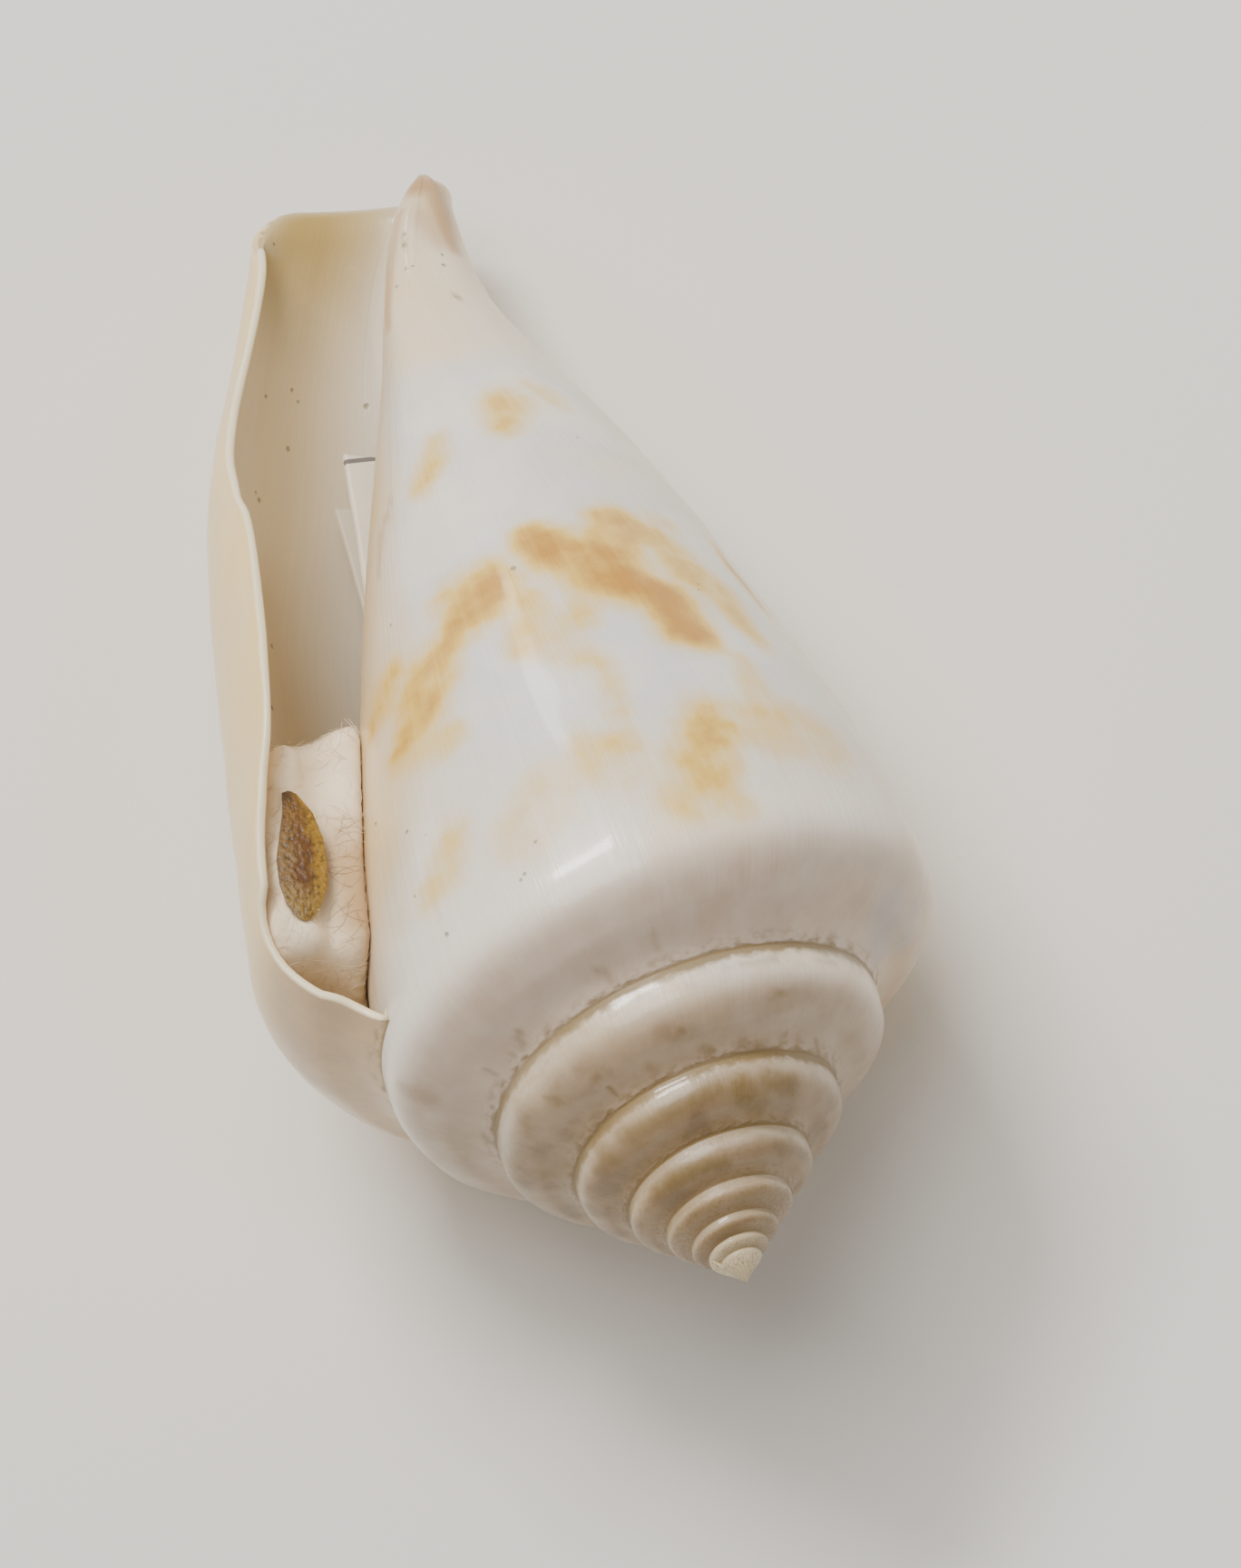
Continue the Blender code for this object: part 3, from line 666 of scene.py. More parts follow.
# Colour laid into the shell as it grew, and dirt on it since: each stroke is its strength and the
# points it runs through, as pixels of the photograph across and down and the half width there
shellMarks = {
    "flames": [
        (0.95, [(587, 594, 9), (606, 602, 13), (622, 612, 13), (641, 616, 14), (663, 615, 19),
            (672, 630, 18), (690, 640, 15), (712, 649, 11), (734, 660, 14), (747, 676, 14),
            (756, 692, 13), (768, 700, 10)]),
        (0.75, [(664, 570, 8), (682, 573, 10), (688, 582, 10), (677, 594, 13), (663, 608, 14)]),
        (0.62, [(690, 581, 8), (712, 586, 9), (728, 597, 10), (745, 613, 13), (761, 630, 13),
            (775, 640, 11), (791, 651, 11), (804, 668, 9), (818, 687, 8), (832, 700, 8)]),
        (0.4, [(718, 567, 5), (732, 577, 7)]),
        (0.85, [(544, 637, 9), (534, 652, 15), (524, 667, 14), (513, 683, 11), (501, 704, 8)]),
        (0.7, [(501, 704, 8), (488, 724, 9), (477, 737, 13), (472, 748, 15), (465, 776, 16),
            (461, 792, 14), (450, 809, 9), (441, 826, 7), (433, 840, 5)]),
        (0.45, [(508, 647, 8), (493, 652, 7), (480, 667, 5)]),
        (0.4, [(455, 830, 8), (472, 826, 8), (489, 818, 8), (502, 809, 6)]),
        (0.6, [(433, 745, 7), (422, 770, 11), (415, 787, 9), (410, 804, 6)]),
        (0.4, [(500, 915, 7), (495, 943, 9), (487, 965, 9), (474, 988, 7)]),
        (0.5, [(578, 663, 8), (585, 683, 11), (580, 709, 9)]),
        (0.45, [(598, 706, 8), (621, 696, 10), (639, 678, 8), (647, 658, 7)]),
        (0.3, [(626, 718, 8), (643, 724, 9)]),
        (0.28, [(668, 734, 5), (677, 771, 6), (682, 806, 6)]),
        (0.4, [(650, 820, 9), (674, 825, 12), (694, 822, 8)]),
        (0.3, [(652, 844, 12), (680, 846, 12)]),
        (0.28, [(601, 863, 10), (620, 861, 9)]),
        (0.22, [(596, 890, 14), (580, 915, 14)]),
        (0.6, [(786, 795, 13), (798, 803, 10), (773, 817, 14), (776, 839, 14), (778, 858, 13)]),
        (0.4, [(772, 862, 12), (758, 878, 12)]),
        (0.38, [(796, 885, 6), (814, 888, 7)]),
        (0.32, [(821, 730, 6), (832, 763, 8)]),
        (0.45, [(838, 790, 12), (847, 803, 13)]),
        (0.36, [(860, 801, 13), (886, 806, 15), (911, 814, 13), (924, 825, 9)]),
        (0.85, [(785, 597, 3), (806, 627, 4), (833, 660, 4), (849, 681, 3)]),
        (0.55, [(557, 443, 11), (557, 464, 9)]),
        (0.45, [(480, 485, 6), (475, 511, 8), (464, 534, 7)]),
        (0.3, [(583, 423, 5), (609, 436, 7), (618, 446, 5)]),
    ],
    "blush": [
        (0.9, [(456, 206, 10), (464, 202, 11.25), (474, 204, 12.5), (482, 210, 12.5)]),
        (0.9, [(484, 212, 12.5), (487, 226, 12.5), (490, 240, 11.25), (494, 256, 10), (500, 272, 7.5)]),
        (0.6, [(440, 234, 5), (434, 262, 5), (430, 296, 5), (428, 330, 5), (428, 362, 4)]),
        (0.5, [(430, 556, 4), (420, 590, 4), (417, 640, 3)]),
        (0.35, [(402, 830, 5), (402, 900, 6), (406, 1000, 6), (413, 1090, 5)]),
        (0.45, [(470, 240, 12), (486, 262, 12)]),
    ],
    "stains": [
        (0.7, [(468, 328, 1.25), (480, 325, 1.5), (492, 325, 1.5), (504, 327, 1.25), (513, 328, 1)]),
        (0.45, [(445, 262, 3), (446, 274, 2.5)]),
        (0.75, [(816, 1193, 12), (822, 1212, 13), (839, 1220, 12)]),
        (0.7, [(846, 1187, 9), (858, 1192, 10), (874, 1203, 7)]),
        (0.5, [(686, 1252, 8), (711, 1242, 8), (743, 1223, 8), (775, 1204, 9), (797, 1193, 8)]),
        (0.45, [(673, 1280, 8), (662, 1265, 9)]),
        (0.7, [(724, 1312, 8), (743, 1300, 11), (772, 1287, 10), (800, 1284, 7)]),
        (0.8, [(603, 1211, 2.5), (608, 1210, 3), (616, 1218, 2.5)]),
        (0.75, [(670, 1199, 2.5), (675, 1203, 3), (680, 1208, 2)]),
        (0.4, [(657, 1188, 5)]),
        (0.8, [(751, 1137, 4)]),
        (0.6, [(857, 1095, 3), (863, 1093, 3)]),
        (0.45, [(820, 1147, 4), (814, 1151, 3)]),
        (0.6, [(776, 1156, 5), (786, 1158, 4), (778, 1166, 3)]),
        (0.35, [(714, 1175, 5), (722, 1180, 4)]),
        (0.5, [(866, 1138, 3), (860, 1152, 4)]),
        (0.6, [(836, 1153, 4)]),
        (0.55, [(899, 1147, 3), (903, 1164, 4), (892, 1160, 4)]),
        (0.5, [(571, 1137, 4), (577, 1154, 5)]),
        (0.4, [(565, 1163, 5)]),
        (0.45, [(536, 1180, 4), (548, 1184, 3)]),
        (0.6, [(534, 1252, 4), (542, 1260, 4)]),
        (0.3, [(718, 1029, 5), (724, 1045, 4)]),
        (0.35, [(660, 1068, 5), (676, 1082, 4)]),
        (0.35, [(816, 1067, 3), (836, 1058, 4), (858, 1058, 4)]),
        (0.3, [(842, 1048, 4), (868, 1050, 4)]),
        (0.28, [(902, 1057, 4), (922, 1064, 4)]),
        (0.3, [(552, 1270, 18), (584, 1280, 18), (600, 1292, 18), (622, 1285, 15)]),
        (0.3, [(570, 1220, 10), (580, 1245, 10)]),
        (0.35, [(839, 1252, 7), (861, 1262, 8), (871, 1255, 6)]),
        (0.3, [(813, 1325, 8), (832, 1319, 7)]),
        (0.25, [(807, 1354, 6), (790, 1372, 6)]),
        (0.35, [(826, 1392, 4)]),
        (0.3, [(745, 1140, 8), (765, 1138, 8)]),
        (0.35, [(860, 1268, 3), (862, 1274, 2.5)]),
        (0.35, [(575, 1300, 12), (560, 1290, 10)]),
        (0.35, [(470, 1210, 14), (445, 1200, 10)]),
    ],
    "cool": [
        (0.6, [(979, 1000, 14), (977, 1022, 16), (972, 1045, 12)]),
        (0.5, [(1000, 1035, 10), (1006, 1000, 8)]),
    ],
    "specks": [
        (293, 437, 3), (322, 430, 3), (329, 443, 3), (318, 495, 4), (282, 543, 3), (286, 552, 4),
        (300, 712, 4), (300, 780, 4), (302, 851, 3), (303, 270, 3), (404, 448, 4), (488, 281, 3),
        (490, 292, 3), (448, 296, 4), (455, 293, 2), (446, 258, 3), (446, 270, 4), (437, 316, 3),
        (578, 963, 3), (574, 970, 3), (492, 1030, 4), (590, 928, 3), (448, 917, 3), (469, 920, 3),
        (414, 908, 3), (457, 988, 2), (771, 650, 2), (770, 644, 2), (566, 626, 4), (637, 482, 2),
        (430, 690, 3),
    ],
}
# how far each kind of mark spreads past the width given for it
markSpread = {"flames": 2.5, "blush": 1.5, "stains": 1.1, "cool": 1.8}


def underPixel(surface, x, y):
    # the place on a surface that shows at a pixel of the photograph
    reach = camera.data.lens / camera.data.sensor_width * photo["height"]
    across, down = x - photo["width"] / 2, y - photo["height"] / 2
    ray = upward.cross(back) * across - upward * down - back * reach
    return surface.ray_cast(camera.matrix_world.translation, ray.normalized())[0]


def hexColour(code):
    # an sRGB hex value as the linear colour that the sockets take
    parts = [int(code[k:k + 2], 16) / 255 for k in (1, 3, 5)]
    return [p / 12.92 if p <= 0.04045 else ((p + 0.055) / 1.055) ** 2.4 for p in parts] + [1.0]


def paintCoats(tree, known, colour, coats):
    # each coat lies over those before it: its share, and its colour
    for share, coat in coats:
        over = hexColour(coat) if isinstance(coat, str) else coat
        layer = addNode(tree, "ShaderNodeMix", {"data_type": "RGBA"}, {0: known[share], 6: colour, 7: over})
        colour = layer.outputs[2]
    return colour


def paintStrokes(mesh, surface, name, spread):
    # keeps how strongly each corner of the mesh is painted, soft at a stroke's edge
    spots = np.empty(len(mesh.vertices) * 3)
    mesh.vertices.foreach_get("co", spots)
    spots = spots.reshape(-1, 3) / mm
    share = np.zeros(len(spots))
    for strength, points in shellMarks[name]:
        points = np.array([
            (*(underPixel(surface, x, y) / mm), width / photo["pixelsPerMm"]) for x, y, width in points
        ])
        if len(points) == 1:
            points = np.concatenate([points, points + (0.001, 0, 0, 0)])
        for start, end in zip(points[:-1], points[1:]):
            run = end[:3] - start[:3]
            at = np.clip((spots - start[:3]) @ run / (run @ run), 0, 1)
            width = (start[3] + (end[3] - start[3]) * at) * spread
            away = np.linalg.norm(spots - start[:3] - at[:, None] * run, axis=1) / width
            edge = np.clip((1.7 - away) / 1.4, 0, 1)
            share = np.maximum(share, strength * edge * edge * (3 - 2 * edge))
    inner = np.empty(len(spots))
    mesh.attributes["inner"].data.foreach_get("value", inner)
    mesh.attributes.new(name, "FLOAT", "POINT").data.foreach_set("value", share * (1 - inner))


# Sea shell: layered aragonite, smooth as glazed porcelain where it isn't worn, which gives a
# soft gloss with sharp small highlights and a little depth at thin edges
porcelainLook = {
    "milk": "#eee5d6",
    "cool": "#dcdad8",
    "cream": "#f6d48c",
    "edge": "#f4e4bf",
    # the ramp's own beige, darkened further as painted shade where the ramps face away from the light
    "ramp": "#b99a80",
    "aged": "#967a54",
    "soot": "#7d6443",
    "nub": "#efdcb4",
    "flamePale": "#ebc566",
    "flameDeep": "#bd8327",
    "blush": "#b5803e",
    "dirt": "#7f6632",
    "bluish": "#b0abaa",
    "insideWarm": "#f8e3b6",
    "insideGrey": "#e0d6c5",
    "insideYellow": "#a98a40",
    "pit": "#7a6547",
    "line": 0.42,  # width of the dirt line in a suture, in mm
    "rampWidth": 6.5,
    "roughness": 0.33,
    "lineHeight": 0.02,
    # along the growth: repeats round a whorl, repeats down it, detail. At the shoulder the growth
    # lines are about 0.4 mm apart and the hair lines 0.1 mm
    "growthPatterns": {
        "lines": (260, 1.3, 3),
        "hair": (900, 3.0, 2),
        "feather": (150, 3.5, 3),
        "smudge": (75, 6.0, 4),
        "band": (9, 3.0, 2),
    },
    # in space: the size of the spots in mm, detail
    "patterns": {"cloud": (5.0, 3), "mottle": (1.6, 4), "grain": (0.35, 3)},
    "shader": {
        "IOR": 1.53,
        "Coat Weight": 0.4,
        "Coat Roughness": 0.1,
        "Subsurface Weight": 0.12,
        "Subsurface Radius": (1.0, 0.7, 0.45),
        "Subsurface Scale": 0.8 * mm,
    },
}


def dressPorcelain(material, surface):
    look = porcelainLook
    tree = material.node_tree
    shader = tree.nodes["Principled BSDF"]
    growthMap = addNode(tree, "ShaderNodeUVMap", {"uv_map": "growthMap"}).outputs[0]
    apart = addNode(tree, "ShaderNodeSeparateXYZ", {}, {0: growthMap})
    spot = addNode(tree, "ShaderNodeTexCoord").outputs["Object"]
    known = {"turn": apart.outputs[0], "place": apart.outputs[1]}
    for name in ("inner", "edge", "flames", "blush", "stains", "cool"):
        known[name] = addNode(tree, "ShaderNodeAttribute", {"attribute_name": name}).outputs["Fac"]
    for name, (around, down, detail) in look["growthPatterns"].items():
        stretched = addNode(tree, "ShaderNodeMapping", {}, {"Vector": growthMap, "Scale": (around, down, 1)})
        texture = addNode(
            tree, "ShaderNodeTexNoise", {"noise_dimensions": "2D"},
            {"Vector": stretched.outputs[0], "Scale": 1.0, "Detail": detail},
        )
        known[name] = texture.outputs[0]
    for name, (size, detail) in look["patterns"].items():
        texture = addNode(
            tree, "ShaderNodeTexNoise", {}, {"Vector": spot, "Scale": 1 / (size * mm), "Detail": detail}
        )
        known[name] = texture.outputs[0]
    known["speck"] = 0.0
    for number, (x, y, width) in enumerate(shellMarks["specks"]):
        pit = underPixel(surface, x, y)
        away = addNode(tree, "ShaderNodeVectorMath", {"operation": "DISTANCE"}, {0: spot, 1: pit})
        known["away"] = away.outputs["Value"]
        addFormula(tree, known, [
            ("away", "DIVIDE", "away", width / photo["pixelsPerMm"] * mm),
            ("away", "MULTIPLY_ADD", "grain", 1.6, "away"),
            ("one", "EASE", "away", 1.9, 0.9),
            ("speck", "MAXIMUM", "speck" if number else 0.0, "one"),
        ])
    addFormula(tree, known, [
        ("onRamp", "EASE", "place", 1.25, 0.7),
        ("onSide", "EASE", "place", 1.9, 2.2),
        ("old", "EASE", "turn", 0.95, 1.3),
        # cream at the lip, on the back and towards the siphonal end
        ("byLip", "EASE", "turn", 0.7, 0.45),
        ("bySiphon", "EASE", "place", 2.62, 2.86),
        ("bySiphon", "MULTIPLY", "bySiphon", 0.5),
        ("creamy", "MAXIMUM", "byLip", "bySiphon"),
        ("byCore", "EASE", "turn", 0.86, 1.0),
        ("byCore", "MULTIPLY", "byCore", "onSide"),
        ("byCore", "MULTIPLY", "byCore", 0.6),
        ("creamy", "MAXIMUM", "creamy", "byCore"),
        ("byAge", "MULTIPLY", "old", 0.25),
        ("creamy", "MAXIMUM", "creamy", "byAge"),
        ("swing", "SUBTRACT", "cloud", 0.5),
        ("creamy", "MULTIPLY_ADD", "swing", 1.2, "creamy"),
        ("creamy", "MAXIMUM", "creamy", 0.0),
        ("creamy", "MINIMUM", "creamy", 1.0),
        ("cooler", "EASE", "cloud", 0.35, 0.62),
        ("bands", "EASE", "band", 0.35, 0.65),
        ("cooler", "MULTIPLY_ADD", "bands", 0.4, "cooler"),
        ("cooler", "MULTIPLY", "cooler", "onSide"),
        # the ramp and the upper shoulder take this beige: partly their own tint, partly painted shade where
        # they face away from the light
        ("beige", "EASE", "place", 1.85, 1.2),
        ("mottled", "MULTIPLY_ADD", "mottle", 0.5, 0.45),
        ("beige", "MULTIPLY CLAMP", "beige", "mottled"),
        # the older the whorl, the browner, most of all low on its ramp
        ("byRamp", "EASE", "place", 1.75, 1.15),
        ("crest", "MULTIPLY_ADD", "byRamp", 0.3, 0.7),
        ("brown", "EASE", "turn", 1.6, 2.15),
        ("brown", "MULTIPLY", "brown", "crest"),
        ("second", "EASE", "turn", 0.95, 1.1),
        ("second", "MULTIPLY", "second", "byRamp"),
        ("second", "MULTIPLY", "second", 0.55),
        ("brown", "MAXIMUM", "brown", "second"),
        ("blotch", "MULTIPLY_ADD", "mottle", 0.75, 0.6),
        ("brown", "MULTIPLY CLAMP", "brown", "blotch"),
        ("sooty", "EASE", "mottle", 0.5, 0.68),
        ("sooty", "MULTIPLY", "sooty", "byRamp"),
        ("sooty", "MULTIPLY", "sooty", "brown"),
        ("older", "EASE", "turn", 1.45, 2.2),
        ("sooty", "MULTIPLY", "sooty", "older"),
        ("sooty", "MULTIPLY", "sooty", 0.7),
        ("nub", "EASE", "turn", 6.3, 7.2),
        ("nub", "MULTIPLY", "nub", 0.9),
        # flames feather out along the growth lines
        ("ragged", "SUBTRACT", "feather", 0.5),
        ("ragged", "MULTIPLY", "ragged", 0.5),
        ("rough", "SUBTRACT", "mottle", 0.5),
        ("ragged", "MULTIPLY_ADD", "rough", 2.0, "ragged"),
        ("laid", "POWER", "flames", 0.8),
        ("room", "MULTIPLY", "laid", 1.2),
        ("room", "MINIMUM", "room", 0.42),
        ("flame", "MULTIPLY_ADD", "ragged", "room", "laid"),
        ("hidden", "EASE", "turn", 0.12, 0.2),
        ("hiddenEnd", "EASE", "turn", 0.62, 0.5),
        ("hidden", "MULTIPLY", "hidden", "hiddenEnd"),
        ("outside", "SUBTRACT", 1.0, "inner"),
        ("hidden", "MULTIPLY", "hidden", "outside"),
        ("highBand", "SUBTRACT", "place", 2.22),
        ("highBand", "ABSOLUTE", "highBand"),
        ("highBand", "EASE", "highBand", 0.14, 0.05),
        ("lowBand", "SUBTRACT", "place", 2.5),
        ("lowBand", "ABSOLUTE", "lowBand"),
        ("lowBand", "EASE", "lowBand", 0.13, 0.04),
        ("both", "MAXIMUM", "highBand", "lowBand"),
        ("backFlame", "EASE", "cloud", 0.5, 0.62),
        ("backFlame", "MULTIPLY", "backFlame", "both"),
        ("backFlame", "MULTIPLY", "backFlame", "hidden"),
        ("backFlame", "MULTIPLY_ADD", "ragged", "backFlame", "backFlame"),
        ("backFlame", "MULTIPLY", "backFlame", 0.6),
        ("flame", "MAXIMUM", "flame", "backFlame"),
        ("flame", "MAXIMUM", "flame", 0.0),
        ("deep", "EASE", "flame", 0.5, 1.1),
        ("deep", "MULTIPLY", "deep", 0.9),
        ("flame", "MULTIPLY CLAMP", "flame", 1.5),
        # dirt in the sutures, a line with smudges that reach up the ramp
        ("scale", "POWER", shellSizes["whorlRatio"], "turn"),
        ("scale", "MULTIPLY", "scale", look["rampWidth"]),
        ("toSuture", "SUBTRACT", 2.0, "place"),
        ("toSuture", "ABSOLUTE", "toSuture"),
        ("above", "SUBTRACT", 1.0, "old"),
        ("toSuture", "ADD", "toSuture", "above"),
        ("toSuture", "MINIMUM", "toSuture", "place"),
        ("toSuture", "MULTIPLY", "toSuture", "scale"),
        ("wander", "MULTIPLY_ADD", "smudge", 1.5, 0.05),
        ("lineWidth", "MULTIPLY", "wander", look["line"]),
        ("lineShare", "DIVIDE", "toSuture", "lineWidth"),
        ("lineShare", "EASE", "lineShare", 1.5, 0.2),
        ("dusty", "EASE", "band", 0.3, 0.6),
        ("dusty", "MULTIPLY_ADD", "dusty", 0.3, 0.7),
        ("lineShare", "MULTIPLY", "lineShare", "dusty"),
        ("worn", "EASE", "turn", 2.6, 4.0),
        ("worn", "MULTIPLY_ADD", "worn", -0.6, 1.0),
        ("lineShare", "MULTIPLY", "lineShare", "worn"),
        ("lineShare", "MULTIPLY", "lineShare", "outside"),
        ("reach", "EASE", "toSuture", 1.9, 0.1),
        ("tuft", "EASE", "smudge", 0.42, 0.72),
        ("tuft", "MULTIPLY", "tuft", "reach"),
        ("onCrest", "EASE", "place", 1.2, 1.7),
        ("onCrest", "MULTIPLY_ADD", "onCrest", -0.75, 1.0),
        ("tuft", "MULTIPLY", "tuft", "onCrest"),
        ("tuft", "MULTIPLY", "tuft", "outside"),
        ("tuft", "MULTIPLY", "tuft", 0.75),
        ("stain", "MULTIPLY_ADD", "grain", 1.4, 0.2),
        ("stain", "MULTIPLY", "stain", "stains"),
        ("stain", "MAXIMUM", "stain", "tuft"),
        ("dirt", "MAXIMUM", "stain", "lineShare"),
        ("dirt", "MINIMUM", "dirt", 0.85),
        # inside: beige by the lip, greyer deeper in
        ("inGrey", "EASE", "turn", 0.12, 0.27),
        ("inYellow", "EASE", "place", 2.78, 2.97),
        ("byCorner", "EASE", "turn", 0.32, 0.1),
        ("byCorner", "MULTIPLY_ADD", "byCorner", 0.6, 0.35),
        ("inYellow", "MULTIPLY", "inYellow", "byCorner"),
        ("whiteEdge", "EASE", "edge", 0.0, 0.6),
        ("speckShare", "MULTIPLY", "speck", 0.65),
        ("blushShare", "MULTIPLY", "blush", 0.8),
    ])
    colour = addNode(
        tree, "ShaderNodeMix", {"data_type": "RGBA"},
        {0: known["cooler"], 6: hexColour(look["milk"]), 7: hexColour(look["cool"])},
    ).outputs[2]
    inside = addNode(
        tree, "ShaderNodeMix", {"data_type": "RGBA"},
        {0: known["inGrey"], 6: hexColour(look["insideWarm"]), 7: hexColour(look["insideGrey"])},
    ).outputs[2]
    inside = paintCoats(tree, known, inside, [("inYellow", look["insideYellow"])])
    colour = paintCoats(tree, known, colour, [
        ("creamy", look["cream"]), ("beige", look["ramp"]), ("brown", look["aged"]),
        ("sooty", look["soot"]), ("nub", look["nub"]), ("cool", look["bluish"]),
        ("blushShare", look["blush"]), ("flame", look["flamePale"]), ("deep", look["flameDeep"]),
        ("inner", inside), ("whiteEdge", look["edge"]), ("dirt", look["dirt"]), ("speckShare", look["pit"]),
    ])
    # growth lines and clouding shift the brightness a little
    addFormula(tree, known, [
        ("shade", "MULTIPLY_ADD", "lines", 0.08, 0.96),
        ("shade", "MULTIPLY_ADD", "cloud", 0.06, "shade"),
        ("shade", "SUBTRACT", "shade", 0.03),
    ])
    shaded = addNode(
        tree, "ShaderNodeVectorMath", {"operation": "SCALE"}, {0: colour, "Scale": known["shade"]}
    )
    addFormula(tree, known, [
        ("gloss", "MULTIPLY_ADD", "mottle", 0.16, look["roughness"] - 0.08),
        ("gloss", "MULTIPLY_ADD", "dirt", 0.35, "gloss"),
        ("gloss", "MULTIPLY_ADD", "onRamp", 0.1, "gloss"),
        ("height", "MULTIPLY_ADD", "hair", 0.5, "lines"),
        ("calm", "MULTIPLY_ADD", "inner", -0.55, 1.0),
        ("height", "MULTIPLY", "height", "calm"),
        ("height", "MULTIPLY_ADD", "mottle", 0.8, "height"),
        ("height", "MULTIPLY_ADD", "speck", -3.0, "height"),
        ("height", "MULTIPLY_ADD", "lineShare", -2.0, "height"),
    ])
    bump = addNode(
        tree, "ShaderNodeBump", {},
        {"Height": known["height"], "Distance": look["lineHeight"] * mm, "Strength": 1.0},
    )
    feedNode(tree, shader, {
        "Base Color": shaded.outputs[0], "Roughness": known["gloss"], "Normal": bump.outputs[0],
        **look["shader"],
    })


porcelain = bpy.data.materials.new("porcelain")
porcelain.use_nodes = True
shellMesh = grown("coneShell", makeShellTree(porcelain), shellSizes)
closeShell(shellMesh)
shellSurface = BVHTree.FromPolygons(
    [corner.co for corner in shellMesh.vertices], [face.vertices for face in shellMesh.polygons]
)
for name, spread in markSpread.items():
    paintStrokes(shellMesh, shellSurface, name, spread)
dressPorcelain(porcelain, shellSurface)
addPiece("coneShell", shellMesh, "shell")
print("shell grown:", len(shellMesh.polygons), "faces")

# The plug is a wad of cotton wool, packed into the aperture and fluffed out towards its walls
cottonWad = {
    "voxel": 0.25,
    "swell": 0.34,
    "swellRight": 1.5,  # more on the side that leans on the columella
    "leaning": 2.1,  # how far from a wall it still leans on it
    "pressed": 0.9,  # how far round the operculum it is pressed flat
    "clear": 0.03,  # kept between the wad and what is round it
    "lumps": ((2.4, 0.12), (0.8, 0.03)),  # size and height of the lumps, in mm
    "fibres": 1300,
    "fibreLength": (0.6, 1.8),
    "fibreRadius": 0.007,  # as a share of its length
    "fibreBend": ((-0.5, 0, 0), (0.05, 0.28, 0.03), (0.5, -0.05, 0.02)),
    "fibreLean": ((-0.08, -0.1, 0), (0.08, 0.05, tau)),
    "smoothing": (14, 4),  # rounds before and after the lumps
    "seed": 4,
    "pale": "#f6e5c7",
    # yellowed cotton, also laid on as painted shade by the columella and the narrow end
    "dull": "#b8966a",
    "tuftHeight": 0.015,
    "patterns": {"cloud": (3.0, 3), "tuft": (0.5, 4), "fibre": (0.12, 3)},  # size in mm, detail
    "shader": {
        "Roughness": 0.95,
        "Specular IOR Level": 0.15,
        "Sheen Weight": 0.2,
        "Sheen Roughness": 0.6,
    },
}


def mergedCopy(node, name):
    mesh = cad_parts[node].data.copy()
    mesh.name = name
    mesh.materials.clear()
    made = bmesh.new()
    made.from_mesh(mesh)
    bmesh.ops.remove_doubles(made, verts=made.verts, dist=1e-6)
    made.to_mesh(mesh)
    made.free()
    return mesh


def applied(mesh, modifiers):
    # a mesh with modifiers applied: each is its kind and its settings
    carrier = bpy.data.objects.new("carrier", mesh)
    bpy.context.scene.collection.objects.link(carrier)
    for kind, settings in modifiers:
        modifier = carrier.modifiers.new(kind, kind)
        for name, value in settings.items():
            setattr(modifier, name, value)
    bpy.context.view_layer.update()
    graph = bpy.context.evaluated_depsgraph_get()
    made = bpy.data.meshes.new_from_object(carrier.evaluated_get(graph), depsgraph=graph)
    made.name = mesh.name
    bpy.data.objects.remove(carrier, do_unlink=True)
    return made


def makeWad(material, walls):
    before, after = cottonWad["smoothing"]
    mesh = applied(mergedCopy("cotton_plug", "cottonPlug"), [
        ("REMESH", {"mode": "VOXEL", "voxel_size": cottonWad["voxel"] * mm}),
        ("SMOOTH", {"iterations": before, "factor": 0.5}),
    ])
    plate = BVHTree.FromObject(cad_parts["operculum"], bpy.context.evaluated_depsgraph_get())
    starts = [(vert.co.copy(), vert.normal.copy()) for vert in mesh.vertices]
    for vert, (start, outward) in zip(mesh.vertices, starts):
        near = min(max(cottonWad["leaning"] - walls.find_nearest(start)[3] / mm, 0), 1)
        lift = cottonWad["swell"] + cottonWad["swellRight"] * max(outward.x, 0) * near
        for size, height in cottonWad["lumps"]:
            lift += height * noise.noise(start / (size * mm))
        lift *= min(plate.find_nearest(start)[3] / mm / cottonWad["pressed"], 1)
        away = walls.ray_cast(start, outward)[3]
        if away is not None:
            lift = min(lift, max(away / mm - cottonWad["clear"], 0))
        vert.co = start + outward * lift * mm
    mesh = applied(mesh, [("SMOOTH", {"iterations": after, "factor": 0.5})])
    mesh.materials.clear()
    mesh.materials.append(material)
    mesh.shade_smooth()
    return mesh


